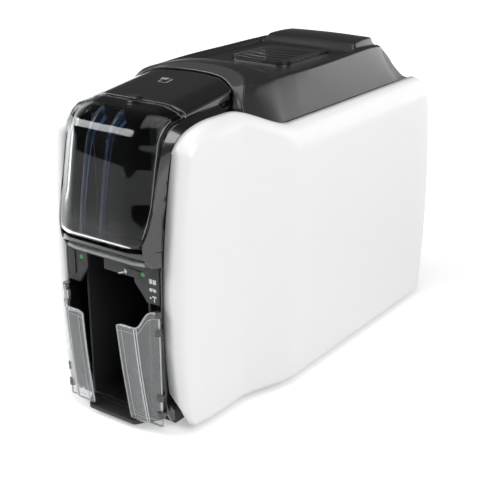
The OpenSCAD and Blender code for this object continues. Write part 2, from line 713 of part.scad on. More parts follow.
module hopper_hood() {
    lug = [38.4, cover_half - 2];
    facet = facet_at(17);
    color(shell_black) difference() {
        union() {
            sheet([for (t = hood_steps)
                    hood_row(t, cover_section(top_drop, skirt_depth - 3, cover_half, facet))],
                [for (t = hood_steps)
                    hood_row(t, cover_inside(top_drop, skirt_depth - 3, cover_half, facet, hood_wall))]);
            for (s = [0, 1]) mirror([s, 0, 0]) {
                x_rod(lug[0], lug[1], 4, pivot_y, pivot_z);
                translate([lug[0], pivot_y - 4, pivot_z]) cube([lug[1] - lug[0], 8, 5]);
            }
        }
        x_rod(-lug[1] - 1, lug[1] + 1, pivot_pin/2 + 0.05, pivot_y, pivot_z);
    }
}

module hopper_catch() {
    color(clear_grey) translate([-4, window_rear - 3.5, cover_top(window_rear) + 0.55]) cube([8, 7, 1.4]);
}

module hood_pins() {
    color(steel) for (s = [0, 1]) mirror([s, 0, 0])
        x_rod(34, cover_half - 2.1, pivot_pin/2, pivot_y, pivot_z);
}

// ---- lid ----
crest_z = [[-70, 0], [-36, -0.5], [-31, lid_floor - lid_height], [82, lid_floor - lid_height],
    [88, block_height - lid_height - 1], [118, block_height - lid_height], [131, -5], [lid_back, -34]];
edge_x = [[-54, 44.5], [-44, 50], [-34, 54.5], [-10, 55.5], [60, 54], [118, 50], [131, 44.5],
    [lid_back, 52]];
edge_z = [[-54, -5.5], [-36, -7], [88, -6.5], [118, -8.5], [131, -12.5], [lid_back, -35.5]];
flank_bend = [[-54, 0.5], [-34, 1], [-14, 1.25]];
hollow = [[-34, 0], [-31, 1], [82, 1], [86, 0]];
lid_rows = concat([0, 6, 12, 18, 24, 32, 50, 75, 100, 130, 136, 142, 156, 172, 179, 185, 190.5],
    [lid_back - crest_front]);
lid_span = [0, 0.32, 0.62, 0.8, 0.88, 0.95, 1];
skirt_span = [0.1, 0.4, 0.75, 1];
function rim_x(y) = half_width(y) - edge_depth - cover_gap;
// Depth of the lid's bowed front edge
function crest_edge(x) = let (u = min(abs(x), crest_foot))
    crest_front - crest_bow*pow(u/42, 2) - crest_sweep*pow(u/crest_foot, 6);
// Right half of the lid's section at depth y, with its foot at depth yf
function lid_profile(y, yf, t) =
    let (ex = lookup(y, edge_x) - 0.9*t, c = lid_height + lookup(y, crest_z),
        e = lid_height + lookup(y, edge_z))
    [for (f = lid_span) let (g = lerp(pow(f, 2.6), smooth((f - 0.82)/0.14), lookup(y, hollow)))
        [ex*f, lerp(c, e, g) - t],
    for (s = skirt_span)
        [lerp(ex, rim_x(yf) - t, pow(s, lookup(y, flank_bend))), lerp(e - t, top_line(yf) - 1, s)]];
function lid_row(d, t) =
    let (y = crest_front + d, fade = max(0, 1 - d/30), half = lid_profile(y,
        y + fade*(crest_edge(crest_foot) - crest_front), t))
    [for (k = [len(half) - 1:-1:0]) [half[k][0], y + fade*(crest_edge(half[k][0]) - crest_front),
        half[k][1]],
    for (k = [1:len(half) - 1]) [-half[k][0], y + fade*(crest_edge(half[k][0]) - crest_front),
        half[k][1]]];

module top_lid() {
    ear = [30, 37.5];
    color(shell_black) difference() {
        union() {
            sheet([for (d = lid_rows) lid_row(d, 0)], [for (d = lid_rows) lid_row(d, lid_wall)]);
            for (s = [0, 1]) mirror([s, 0, 0]) {
                x_rod(ear[0], ear[1], 5, lid_axis_y, lid_axis_z);
                side_slab(ear[0], ear[1])
                    polygon([[lid_axis_y - 4.5, lid_axis_z - 2], [lid_axis_y - 22, lid_axis_z + 8],
                    [lid_axis_y - 22, lid_height - 5], [lid_axis_y - 14, lid_height - 8],
                    [lid_axis_y - 4, lid_height - 27], [lid_axis_y, lid_axis_z + 4.9]]);
            }
        }
        x_rod(-60, 60, lid_pin/2 + 0.05, lid_axis_y, lid_axis_z);
        // hole for the release grip
        translate([0, release_y + grip_length/2, lid_floor - 10]) linear_extrude(20)
            round_rect([grip_width + 1.2, grip_length + 1.2], 9);
    }
}

// Free play between the hood's swing and the arch
trim_gap = 2.1;
// Least width of the arch, at its feet
trim_foot = 0.9;
// Front edge of the arch: as many points as the lid's half section
trim_front = [[0, 243], [13.5, 242.9], [26, 242.5], [33, 241.1], [36.6, 239.6], [40, 238.1], [42.4,
    236.4],
    [44.3, 233], [45.4, 229], [47, 224.6], [49, 220.6]];
function trim_row(u, t) =
    let (rear = lid_profile(crest_front, crest_edge(crest_foot), 0.3), half = [for (a = [0:10])
        let (x = lerp(trim_front[a][0], rear[a][0], u),
            z = lerp(trim_front[a][1] + lid_height - 245, rear[a][1], u),
            side = smooth((a - 4)/5),
            y1 = crest_edge(rear[a][0]) - 0.4,
            y0 = min(hood_end(x, false) + trim_gap - 0.7*smooth((a - 7)/3), y1 - trim_foot))
        [x - t*side, lerp(y0, y1, u), z - t*(1 - side)]])
    [for (k = [10:-1:0]) half[k], for (k = [1:10]) [-half[k][0], half[k][1], half[k][2]]];

// Locating tabs under the trim: size, and the middle of each at (x, y)
trim_tab = [6, 6, 4.6];
trim_tab_x = 20;
trim_tab_y = -61;
trim_wall = 1.6;
trim_steps = [0, 0.5, 1];

module lid_front_trim() {
    color(trim_grey) union() {
        sheet([for (u = trim_steps) trim_row(u, 0)], [for (u = trim_steps) trim_row(u, trim_wall)]);
        for (s = [-1, 1])
            translate([s*trim_tab_x - trim_tab[0]/2, trim_tab_y - trim_tab[1]/2,
                lid_height - trim_tab[2] - 2.7])
                cube(trim_tab);
    }
}

module lid_release() {
    color(shell_black) union() {
        difference() {
            translate([0, release_y + grip_length/2, lid_floor - 7]) linear_extrude(9.4)
                round_rect([grip_width, grip_length], 9);
            // hollow underside
            translate([0, release_y + grip_length/2, lid_floor - 8]) linear_extrude(7.6)
                round_rect([grip_width - 5, grip_length - 5], 7);
            // ribbed finger area: shallow arcs across the grip
            for (k = [0:4]) translate([0, release_y + grip_length + 34 - 10*k, lid_floor + 1.6])
                difference() {
                cylinder(h = 2, r = 62);
                translate([0, 0, -1]) cylinder(h = 4, r = 60.4);
                translate([-80, -20, -1]) cube([160, 100, 4]);
                for (s = [-1, 1]) translate([s*(grip_width/2 + 44), -60, -1]) translate([-50, -60, 0])
                    cube([100, 120, 4]);
            }
        }
        translate([-20, release_y + 6, lid_floor - 9.5]) cube([40, 5, 9]);
    }
}

module lid_latch() {
    front = latch_bar[0] + 6;
    top = lid_floor - lid_wall - 0.2;
    color(fascia_grey) difference() {
        union() {
            translate([-14, front, latch_bar[1] - 10]) cube([28, 3, top - latch_bar[1] + 10]);
            translate([-14, front, top - 3]) cube([28, 9, 3]);
            for (x = [-10, 8]) translate([x, front, top - 14]) cube([2, 8, 12]);
        }
        translate([-8, front - 1, latch_bar[1] + 8]) cube([16, 5, 22]);
    }
}

module lid_pins() {
    color(steel) for (s = [0, 1]) mirror([s, 0, 0])
        x_rod(29.5, plate_x + plate + 1, lid_pin/2, lid_axis_y, lid_axis_z);
}

// ---- print head ----
module head_carrier() {
    color(fascia_grey) difference() {
        union() {
            translate([-33, platen_y - 9, path_height + 18]) cube([66, 18, 6]);
            for (s = [-1, 1]) translate([s > 0 ? 29 : -33, platen_y - 9, path_height + 18])
                cube([4, 18, lid_floor - 13 - path_height - 18]);
            translate([-33, platen_y - 12, lid_floor - 14]) cube([66, 24, 3]);
            for (s = [-1, 1]) translate([s*30 - 2, platen_y - 8, lid_floor - 12]) cube([4, 16, 9.2]);
        }
        for (s = [-1, 1]) translate([s*31, platen_y + 20, path_height + 60]) rotate([90, 0, 0])
            cylinder(h = 40, d = 8);
    }
}

module print_head() {
    head_bottom = path_height + 0.9;
    color(steel) union() {
        translate([-32, platen_y - 8, head_bottom + 8]) cube([64, 16, 18 - 8.9]);
        for (k = [0:4]) translate([-32 + 14*k, platen_y - 8, head_bottom + 4]) cube([8, 16, 5]);
        translate([-32, platen_y - 4, head_bottom + 3]) cube([64, 8, 6]);
        difference() {
            translate([-30, platen_y - 5, head_bottom]) cube([60, 10, 4]);
            translate([-31, platen_y - 6, head_bottom - 1]) rotate([12, 0, 0]) cube([62, 4, 3]);
        }
    }
}

// ---- frame ----
roller_places = [for (k = [-3:1]) platen_y + k*roller_pitch];
idler_places = [for (k = [-3:0]) platen_y + (k + 0.5)*roller_pitch];

module frame_plate() {
    side_slab(plate_x, plate_x + plate) difference() {
        polygon([[platen_y - 3*roller_pitch - 10, roller_z - 10], [platen_y - 3*roller_pitch - 10,
            path_height + 10],
            [-72, path_height + 10], [-56, 172], [-40, 196], [-20, 200], [20, 200], [20,
                path_height + 20],
            [60, path_height + 20], [60, 200], [118, 200], [lid_axis_y - 6, lid_axis_z + 3.6],
            [lid_axis_y + 2, lid_axis_z + 3.6], [lid_axis_y + 4, lid_axis_z + 1.6],
            [lid_axis_y + 4, lid_axis_z - 6], [deck_back + 6, 180], [deck_back + 6,
                panel_lift + base_floor],
            [-60, panel_lift + base_floor], [-60, roller_z - 22], [-74, roller_z - 10]]);
        for (y = roller_places) translate([y, roller_z]) circle(shaft_diameter/2 + shaft_fit);
        translate([lid_axis_y, lid_axis_z]) circle(lid_pin/2 + 0.02);
        for (y = [supply_y, takeup_y]) {
            translate([y, spool_height]) circle(4 + 0.3);
            translate([y - 4.3, spool_height]) square([8.6, 30]);
        }
        for (b = panel_bosses) translate([b[0], b[1]]) circle(screw_diameter/2 + 0.2);
        translate([30, 60]) circle(18);
        translate([90, 60]) circle(14);
        children();
    }
}

module left_frame_plate() {
    color(steel) mirror([1, 0, 0]) frame_plate() {
        for (y = idler_places) translate([y, roller_z]) circle(1.5 + 0.02);
        translate([drive_motor_y, drive_motor_z]) circle(7);
    }
}

module right_frame_plate() {
    color(steel) frame_plate() translate([takeup_y, ribbon_motor_z]) circle(4);
}

bar_places = [[-50, 20], [-50, 110], [96, 20], [124, 110], [110, 176], latch_bar];
module frame_crossbars() {
    color(steel) for (b = bar_places) x_rod(-plate_x, plate_x, 4, b[0], b[1]);
}

module card_deck() {
    color(fascia_grey) difference() {
        union() {
            translate([-plate_x + 0.3, deck_front, path_height - 3])
                cube([2*plate_x - 0.6, deck_back - deck_front, 2.2]);
            for (s = [-1, 1]) translate([s > 0 ? bin_half : -bin_half - 2, deck_front, path_height - 1])
                cube([2, deck_back - deck_front, 1.6]);
            for (x = [-20, -8, 4, 16]) translate([x, deck_front + 2, path_height - 1])
                cube([1.5, deck_back - deck_front - 8, 0.8]);
        }
        for (y = roller_places) translate([-28.5, y - roller_radius - 0.6, path_height - 5])
            cube([57, 2*roller_radius + 1.2, 12]);
    }
}

// ---- rollers and gears ----
module roller(y, sleeve) {
    color(rubber) union() {
        x_rod(-sleeve, sleeve, roller_radius, y, roller_z);
        x_rod(-gear_x - gear_face - 1, plate_x + plate + 1.5, shaft_diameter/2, y, roller_z);
    }
}
module pick_roller() { roller(roller_places[0], pick_half); }
module feed_roller() { roller(roller_places[1], 26); }
module cleaning_roller() { roller(roller_places[2], 26); }
module platen_roller() { roller(roller_places[3], 27); }
module rear_roller() { roller(roller_places[4], 26); }

// A spur gear outline with involute flanks at a 20 degree pressure angle
function inv(a) = tan(a) - a*PI/180;
function half_tooth(teeth, r) =
    let (rp = gear_module*teeth/2, rb = rp*cos(20))
    tooth_width*180/teeth + (inv(20) - inv(acos(min(1, rb/r))))*180/PI;
function gear_points(teeth) =
    let (rp = gear_module*teeth/2, ra = rp + 0.9*gear_module, rf = rp - 1.15*gear_module,
        side = [rf, max(rf, rp - 0.45*gear_module), rp, rp + 0.45*gear_module, ra])
    [for (i = [0:teeth - 1])
        each concat([for (r = side) polar(r, 360*i/teeth - half_tooth(teeth, r))],
            [for (k = [4:-1:0]) polar(side[k], 360*i/teeth + half_tooth(teeth, side[k]))])];

module gear(teeth, phase, bore, x0, y, z, hub = 0) {
    translate([x0, y, z]) rotate([90, 0, 90]) difference() {
        union() {
            linear_extrude(gear_face) rotate(phase) polygon(gear_points(teeth));
            if (hub > 0) cylinder(h = gear_face + 1.5, r = hub);
        }
        translate([0, 0, -1]) cylinder(h = gear_face + 4, r = bore);
    }
}
module roller_gear(k) {
    color("#e8e4d8") gear(roller_teeth, 0, shaft_diameter/2 + 0.02, -gear_x - gear_face,
        roller_places[k], roller_z);
}
module idler(k) {
    color("#e8e4d8") gear(roller_teeth, 180/roller_teeth, 1.5 + shaft_fit, -gear_x - gear_face,
        idler_places[k], roller_z);
}
module pick_gear() { roller_gear(0); }
module feed_gear() { roller_gear(1); }
module cleaning_gear() { roller_gear(2); }
module platen_gear() { roller_gear(3); }
module rear_gear() { roller_gear(4); }
module idler_gear_1() { idler(0); }
module idler_gear_2() { idler(1); }
module idler_gear_3() { idler(2); }
module idler_gear_4() { idler(3); }

module idler_axles() {
    color(steel) for (y = idler_places) union() {
        x_rod(-gear_x - gear_face - 1, -plate_x, 1.5, y, roller_z);
        x_rod(-gear_x + 0.3, -plate_x - plate, 3, y, roller_z);
    }
}

module drive_motor() {
    color("#8d9196") union() {
        translate([-plate_x, drive_motor_y - motor_size/2, drive_motor_z - motor_size/2])
            cube([30, motor_size, motor_size]);
        x_rod(-plate_x - plate - 0.5, -plate_x + 1, 6.8, drive_motor_y, drive_motor_z);
    }
}

module drive_pinion() {
    color("#c9a24a") gear(pinion_teeth, 90 + (roller_teeth % 4)*90/pinion_teeth, 1.2,
        -gear_x - gear_face, drive_motor_y, drive_motor_z);
    color(steel) x_rod(-gear_x - gear_face - 0.5, -plate_x - plate - 0.8, 1.19, drive_motor_y,
        drive_motor_z);
}

module ribbon_motor() {
    color("#8d9196") union() {
        x_rod(plate_x - 24, plate_x, 8.5, takeup_y, ribbon_motor_z);
        x_rod(plate_x - 1, plate_x + plate + 0.5, 3.9, takeup_y, ribbon_motor_z);
    }
}

module ribbon_pinion() {
    color("#c9a24a") gear(pinion_teeth, 90, 1.2, gear_x, takeup_y, ribbon_motor_z);
    color(steel) x_rod(plate_x + plate + 0.8, gear_x + gear_face + 0.5, 1.19, takeup_y, ribbon_motor_z);
}

module ribbon_gear() {
    color("#e8e4d8") union() {
        gear(ribbon_teeth, 270 - 180/ribbon_teeth, 0.01, gear_x, takeup_y, spool_height);
        x_rod(plate_x - 4, gear_x + 1, 4, takeup_y, spool_height);
    }
}

// ---- ribbon ----
module ribbon_cradle() {
    color("#3c6ea8") union() {
        for (s = [-1, 1]) side_slab(s > 0 ? 34.2 : -36.2, s > 0 ? 36.2 : -34.2) difference() {
            polygon([[-30, 172], [-22, 160], [10, 160], [16, 168], [16, 158], [64, 158], [64, 172],
                [94, 172], [94, 192],
                [60, 194], [60, 162], [20, 162], [20, 194], [-24, 194]]);
            translate([supply_y, spool_height]) circle(4.3);
            translate([supply_y - 4.3, spool_height]) square([8.6, 30]);
            translate([takeup_y, spool_height]) circle(4.3);
            translate([takeup_y - 4.3, spool_height]) square([8.6, 30]);
        }
        translate([-36, -30, 172]) cube([72, 3, 6]);
        translate([-36, 91, 174]) cube([72, 3, 6]);
    }
}

module spool(y, roll, x1) {
    union() {
        x_rod(-plate_x - 0.8, x1, 4, y, spool_height);
        x_rod(-card_width/2 - 1, card_width/2 + 1, roll, y, spool_height);
        for (s = [-1, 1]) x_rod(s > 0 ? 29.5 : -31.5, s > 0 ? 31.5 : -29.5, roll > 12 ? 14 : 12, y,
            spool_height);
    }
}
module supply_spool() { color("#2b2b2e") spool(supply_y, supply_radius - 2, plate_x + 0.8); }
module takeup_spool() { color("#2b2b2e") spool(takeup_y, takeup_radius, plate_x - 4.4); }

// ---- electronics ----
board_x = 62;
module main_board() {
    color("#1f6b3a") union() {
        translate([board_x, 30, 18]) cube([1.6, 124, 110]);
        for (p = [[40, 26], [40, 120], [120, 26], [120, 120]])
            x_rod(plate_x + plate + 0.3, board_x, 2.5, p[0], p[1]);
        translate([board_x - 3, 70, 60]) cube([3, 24, 24]);
        translate([board_x - 7, 60, 100]) cube([7, 40, 10]);
        for (k = [0:2]) x_rod(board_x - 10, board_x, 4, 130, 96 + 10*k);
    }
}

module power_inlet() {
    color("#202124") difference() {
        union() {
            translate([power_place[0], rear_y - 6, power_place[1]]) rotate([90, 0, 0])
                cylinder(h = 18, d = 11.4);
            translate([power_place[0] - 5.5, rear_y - 44, power_place[1] - 5]) cube([17.2, 24, 10]);
        }
        translate([power_place[0], rear_y - 5, power_place[1]]) rotate([90, 0, 0])
            cylinder(h = 14, d = 6.4);
    }
}

module usb_socket() {
    color(steel) difference() {
        translate([usb_place[0] - 6, rear_y - 42, usb_place[1] - 5.5]) cube([12, 38, 11]);
        translate([usb_place[0] - 4.5, rear_y - 18, usb_place[1] - 4.2]) cube([9, 20, 8.4]);
    }
    color(steel) translate([usb_place[0] - 3, rear_y - 18.5, usb_place[1] - 1.6]) cube([6, 10, 3.2]);
}

module network_socket() {
    color("#202124") difference() {
        translate([network_place[0] - 8, rear_y - 42, network_place[1] - 6.6]) cube([16, 38, 13.2]);
        translate([network_place[0] - 6, rear_y - 18, network_place[1] - 4]) cube([12, 20, 8]);
        translate([network_place[0] - 3, rear_y - 18, network_place[1] - 5.6]) cube([6, 20, 3]);
    }
}

module case_screws() {
    color(steel) for (s = [0, 1], b = panel_bosses) mirror([s, 0, 0]) union() {
        x_rod(plate_x - 1.4, plate_x, 2.8, b[0], b[1]);
        x_rod(plate_x - 0.5, boss_seat + 10, screw_diameter/2, b[0], b[1]);
    }
}

left_side_panel();
right_side_panel();
rear_panel();
base_tray();
rubber_feet();
front_bezel();
control_fascia();
light_bar();
status_lights();
power_button();
output_bin();
card_hopper();
hopper_hood();
hopper_window();
hopper_catch();
hood_pins();
left_wing();
right_wing();
wing_pins();
top_lid();
lid_front_trim();
lid_release();
lid_latch();
lid_pins();
head_carrier();
print_head();
left_frame_plate();
right_frame_plate();
frame_crossbars();
card_deck();
pick_roller();
feed_roller();
cleaning_roller();
platen_roller();
rear_roller();
pick_gear();
feed_gear();
cleaning_gear();
platen_gear();
rear_gear();
idler_gear_1();
idler_gear_2();
idler_gear_3();
idler_gear_4();
idler_axles();
drive_motor();
drive_pinion();
ribbon_motor();
ribbon_pinion();
ribbon_gear();
ribbon_cradle();
supply_spool();
takeup_spool();
main_board();
power_inlet();
usb_socket();
network_socket();
case_screws();
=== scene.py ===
"""Desktop ID card printer, dressed and lit.

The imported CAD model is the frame. This script lays fine surfaces over the moulded pieces,
gives every piece its finish, and sets up a pale studio and a camera.
"""

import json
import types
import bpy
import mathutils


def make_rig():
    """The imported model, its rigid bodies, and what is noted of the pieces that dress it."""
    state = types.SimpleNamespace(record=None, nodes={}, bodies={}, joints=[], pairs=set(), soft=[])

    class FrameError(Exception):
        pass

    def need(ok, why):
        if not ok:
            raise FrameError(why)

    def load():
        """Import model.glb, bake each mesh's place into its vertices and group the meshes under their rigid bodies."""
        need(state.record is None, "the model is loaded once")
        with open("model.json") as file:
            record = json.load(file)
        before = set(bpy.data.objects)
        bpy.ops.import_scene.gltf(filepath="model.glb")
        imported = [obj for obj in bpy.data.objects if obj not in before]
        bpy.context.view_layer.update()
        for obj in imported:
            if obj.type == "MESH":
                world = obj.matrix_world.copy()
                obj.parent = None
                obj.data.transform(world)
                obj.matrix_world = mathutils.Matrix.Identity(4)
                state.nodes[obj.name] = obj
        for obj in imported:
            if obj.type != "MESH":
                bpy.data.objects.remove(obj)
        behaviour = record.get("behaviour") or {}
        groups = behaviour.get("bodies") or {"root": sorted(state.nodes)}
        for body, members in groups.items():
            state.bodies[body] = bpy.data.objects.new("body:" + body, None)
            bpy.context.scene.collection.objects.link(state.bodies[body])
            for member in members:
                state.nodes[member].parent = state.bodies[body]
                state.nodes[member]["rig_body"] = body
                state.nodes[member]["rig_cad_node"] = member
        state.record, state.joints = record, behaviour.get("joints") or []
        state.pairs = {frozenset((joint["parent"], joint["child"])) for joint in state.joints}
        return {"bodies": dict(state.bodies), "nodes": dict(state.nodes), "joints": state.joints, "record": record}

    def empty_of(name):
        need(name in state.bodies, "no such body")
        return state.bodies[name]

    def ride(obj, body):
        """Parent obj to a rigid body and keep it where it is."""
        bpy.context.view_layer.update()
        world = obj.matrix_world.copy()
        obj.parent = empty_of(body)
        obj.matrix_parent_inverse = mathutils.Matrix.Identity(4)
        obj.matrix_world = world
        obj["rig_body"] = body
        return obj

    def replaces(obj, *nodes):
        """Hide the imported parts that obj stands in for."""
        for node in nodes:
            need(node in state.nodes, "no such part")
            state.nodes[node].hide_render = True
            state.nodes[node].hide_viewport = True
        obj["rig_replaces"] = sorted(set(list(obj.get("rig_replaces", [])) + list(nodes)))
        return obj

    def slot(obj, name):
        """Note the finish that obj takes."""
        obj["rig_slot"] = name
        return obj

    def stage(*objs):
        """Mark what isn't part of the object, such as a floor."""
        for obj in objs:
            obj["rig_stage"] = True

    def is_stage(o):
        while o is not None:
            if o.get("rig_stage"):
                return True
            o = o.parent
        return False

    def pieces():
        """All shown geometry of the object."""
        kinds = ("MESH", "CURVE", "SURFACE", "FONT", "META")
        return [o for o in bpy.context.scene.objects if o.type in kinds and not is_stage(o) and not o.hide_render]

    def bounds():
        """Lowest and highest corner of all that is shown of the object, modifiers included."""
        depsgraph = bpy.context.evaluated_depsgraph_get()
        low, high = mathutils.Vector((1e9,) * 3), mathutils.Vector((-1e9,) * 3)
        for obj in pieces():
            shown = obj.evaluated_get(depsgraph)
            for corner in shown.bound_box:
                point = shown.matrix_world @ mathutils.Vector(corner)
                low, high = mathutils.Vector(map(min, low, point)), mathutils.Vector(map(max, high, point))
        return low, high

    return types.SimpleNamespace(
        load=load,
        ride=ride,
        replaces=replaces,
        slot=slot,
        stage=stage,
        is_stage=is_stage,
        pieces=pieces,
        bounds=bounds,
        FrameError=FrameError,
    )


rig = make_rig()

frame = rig.load()

import json
import logging
import math
from dataclasses import dataclass, field
from enum import Enum
from pathlib import Path
from typing import Callable, Iterable, Optional, Sequence

import bmesh
import bpy
import numpy as np
from mathutils import Matrix

log = logging.getLogger("card_printer")
Array = np.ndarray
Colour = tuple[float, float, float]
MM = 0.001
SIDES = (("right", 1.0), ("left", -1.0))


# ---------------------------------------------------------------------------
# Numbers and curves
# ---------------------------------------------------------------------------

def smooth(t: Array) -> Array:
    """Ease from 0 to 1: 3t^2 - 2t^3, held at both ends."""
    u = np.clip(t, 0.0, 1.0)
    return u*u*(3.0 - 2.0*u)


def mix(a: Array, b: Array, t: Array) -> Array:
    """Straight-line blend a + (b - a) t."""
    return a + (b - a)*t


def ramp(t: Array) -> Array:
    """Straight rise from 0 to 1, held at both ends."""
    return np.clip(t, 0, 1)


def soft_lookup(x: Array, table: Sequence[tuple[float, float]]) -> Array:
    """Smooth curve through a short table of (place, value) pairs.

    Between two knots the value follows the cubic Hermite curve, with each knot's slope the
    harmonic mean of the slopes on both sides, so the curve never overshoots.

    Args:
        x: Places to read.
        table: Knots in rising order of place.

    Returns:
        The values at x, held level beyond the first and last knot.
    """
    px, py = (np.array(c, float) for c in zip(*table))
    step = np.diff(px)
    secant = np.diff(py)/step
    slope = np.zeros_like(px)
    a, b = secant[:-1], secant[1:]
    same = a*b > 0
    slope[1:-1] = np.where(same, 2*a*b/np.where(same, a + b, 1.0), 0.0)
    x = np.clip(np.asarray(x, float), px[0], px[-1])
    k = np.clip(np.searchsorted(px, x, side="right") - 1, 0, len(step) - 1)
    t = (x - px[k])/step[k]
    h = step[k]
    return ((1 + 2*t)*(1 - t)**2*py[k] + t*(1 - t)**2*h*slope[k]
            + t*t*(3 - 2*t)*py[k + 1] + t*t*(t - 1)*h*slope[k + 1])


def soft_rows(x: Array, knots: Array, rows: Array) -> Array:
    """Smooth curve through rows of values, one row for each knot.

    Args:
        x: Places to read, shape (N,).
        knots: Places of the rows, in rising order.
        rows: The rows, shape (K, C).

    Returns:
        Each column read with soft_lookup, shape (N, C).
    """
    return np.stack([soft_lookup(x, list(zip(knots, column))) for column in rows.T], axis=1)


def path_length(points: Array) -> Array:
    """Length of a path up to each of its points."""
    return np.concatenate([[0], np.cumsum(np.linalg.norm(np.diff(points, axis=0), axis=1))])


def rounded_path(corners: Array, radii: Sequence[float], steps: int = 5) -> Array:
    """Paths with their inner corners rounded.

    Each inner corner C between neighbours A and B becomes the quadratic curve
    (1-t)^2 P + 2t(1-t) C + t^2 Q, where P and Q lie on its two sides at the corner's radius,
    or at 45% of the side where that is shorter.

    Args:
        corners: Corner points, shape (..., K, D).
        radii: K reaches, in the units of the corners. The first and last are not used.
        steps: Points on each rounded corner.

    Returns:
        Points, shape (..., 2 + (K - 2)*steps, D).
    """
    t = np.linspace(0, 1, steps)[:, None]
    out = [corners[..., :1, :]]
    for k in range(1, corners.shape[-2] - 1):
        c = corners[..., k:k + 1, :]
        sides = []
        for other in (corners[..., k - 1:k, :], corners[..., k + 1:k + 2, :]):
            d = other - c
            length = np.linalg.norm(d, axis=-1, keepdims=True)
            sides.append(c + d/np.maximum(length, 1e-9)*np.minimum(radii[k], 0.45*length))
        out.append((1 - t)**2*sides[0] + 2*t*(1 - t)*c + t**2*sides[1])
    out.append(corners[..., -1:, :])
    return np.concatenate(out, axis=-2)


def arc(a0: float, a1: float, n: int) -> Array:
    """n angles in radians from a0 to a1, both given in degrees."""
    return np.radians(np.linspace(a0, a1, n))


def full_turn(n: int) -> Array:
    """n even angles round a circle, in radians, the first at 0."""
    return arc(0, 360, n + 1)[:-1]


def xyz(x: Array, y: Array, z: Array) -> Array:
    """Points from three coordinates, stretched to one shape."""
    return np.stack(np.broadcast_arrays(x, y, z), axis=-1)


def mirrored(points: Array, sign: float = -1.0) -> Array:
    """Points with x times the sign: 1 keeps them on the right, -1 puts them on the left."""
    return points*np.array([sign, 1.0, 1.0])


def box(x0: float, y0: float, x1: float, y1: float) -> Array:
    """Corners of an upright rectangle in a plane."""
    return np.array([(x0, y0), (x1, y0), (x1, y1), (x0, y1)])


def oval(x: float, y: float, rx: float, ry: float) -> Array:
    """Sixteen points round an ellipse in a plane."""
    t = full_turn(16)
    return np.column_stack([x + rx*np.cos(t), y + ry*np.sin(t)])


# ---------------------------------------------------------------------------
# Meshes
# ---------------------------------------------------------------------------

def grid_faces(nu: int, nv: int, offset: int = 0, close_u: bool = False,
               close_v: bool = False) -> Array:
    """Quads of a grid whose point (i, j) has index offset + i*nv + j.

    Args:
        nu: Rows.
        nv: Points in a row.
        offset: Index of the first point.
        close_u: Join the last row to the first.
        close_v: Join each row's last point to its first.

    Returns:
        Face indices, shape (F, 4).
    """
    rows = np.arange(nu if close_u else nu - 1)
    i, j = np.meshgrid(rows, np.arange(nv if close_v else nv - 1), indexing="ij")
    i2, j2 = (i + 1) % nu, (j + 1) % nv
    quads = np.stack([i*nv + j, i2*nv + j, i2*nv + j2, i*nv + j2], axis=-1)
    return quads.reshape(-1, 4) + offset


def make_object(name: str, points: Array, faces: Iterable[Sequence[int]],
                scale: float = MM) -> bpy.types.Object:
    """A smooth-shaded mesh object at the origin.

    Args:
        name: Object name.
        points: Points in millimetres, any shape ending in 3.
        faces: Lists of point indices.
        scale: Metres for each unit of points.

    Returns:
        The new object, linked to the scene.
    """
    mesh = bpy.data.meshes.new(name)
    places = (points.reshape(-1, 3)*scale).tolist()
    mesh.from_pydata(places, [], [list(map(int, f)) for f in faces])
    mesh.update()
    mesh.shade_smooth()
    obj = bpy.data.objects.new(name, mesh)
    bpy.context.scene.collection.objects.link(obj)
    return obj


def weld(obj: bpy.types.Object, distance: float = 1e-6) -> bpy.types.Object:
    """Merge doubled points and turn all faces outwards."""
    work = bmesh.new()
    work.from_mesh(obj.data)
    bmesh.ops.remove_doubles(work, verts=work.verts, dist=distance)
    bmesh.ops.dissolve_degenerate(work, edges=work.edges, dist=distance)
    bmesh.ops.recalc_face_normals(work, faces=work.faces)
    work.to_mesh(obj.data)
    work.free()
    obj.data.shade_smooth()
    return obj


def shell(name: str, outer: Array, inner: Array) -> bpy.types.Object:
    """A closed wall between two grids of the same shape.

    The wall's rim joins the four edges of the outer grid to those of the inner grid.

    Args:
        name: Object name.
        outer: Points in millimetres, shape (U, V, 3).
        inner: Points of the wall's other side, same shape.

    Returns:
        The new object, with its faces pointing outwards.
    """
    nu, nv = outer.shape[:2]
    n = nu*nv
    index = np.arange(n).reshape(nu, nv)
    ring = np.concatenate([index[0, :-1], index[:-1, -1], index[-1, :0:-1], index[:0:-1, 0]])
    after = np.roll(ring, -1)
    rim = np.stack([ring, ring + n, after + n, after], axis=1)
    faces = np.concatenate([grid_faces(nu, nv), grid_faces(nu, nv, n)[:, ::-1], rim])
    points = np.concatenate([outer.reshape(-1, 3), inner.reshape(-1, 3)])
    return weld(make_object(name, points, faces))


def tube(name: str, centre: Array, radius: float, sides: int = 12,
         closed: bool = False) -> bpy.types.Object:
    """A round bar along a path of points.

    At each point the section is a circle across the path's direction; its two axes come from
    crossing that direction with the world axis furthest from the path as a whole.

    Args:
        name: Object name.
        centre: Path points in millimetres, shape (N, 3).
        radius: Radius in millimetres.
        sides: Points round the section.
        closed: Join the path's ends.

    Returns:
        The new object.
    """
    n = len(centre)
    along = np.gradient(centre, axis=0)
    if closed:
        along = np.roll(centre, -1, axis=0) - np.roll(centre, 1, axis=0)
    along /= np.linalg.norm(along, axis=1, keepdims=True)
    helper = np.eye(3)[np.argmin(np.abs(along).sum(axis=0))]
    a = np.cross(along, helper)
    a /= np.linalg.norm(a, axis=1, keepdims=True)
    b = np.cross(along, a)
    t = full_turn(sides)[:, None]
    points = centre[:, None] + radius*(a[:, None]*np.cos(t) + b[:, None]*np.sin(t))
    faces = grid_faces(n, sides, close_u=closed, close_v=True).tolist()
    if not closed:
        faces += [list(range(sides))[::-1], list(range((n - 1)*sides, n*sides))]
    return weld(make_object(name, points, faces))


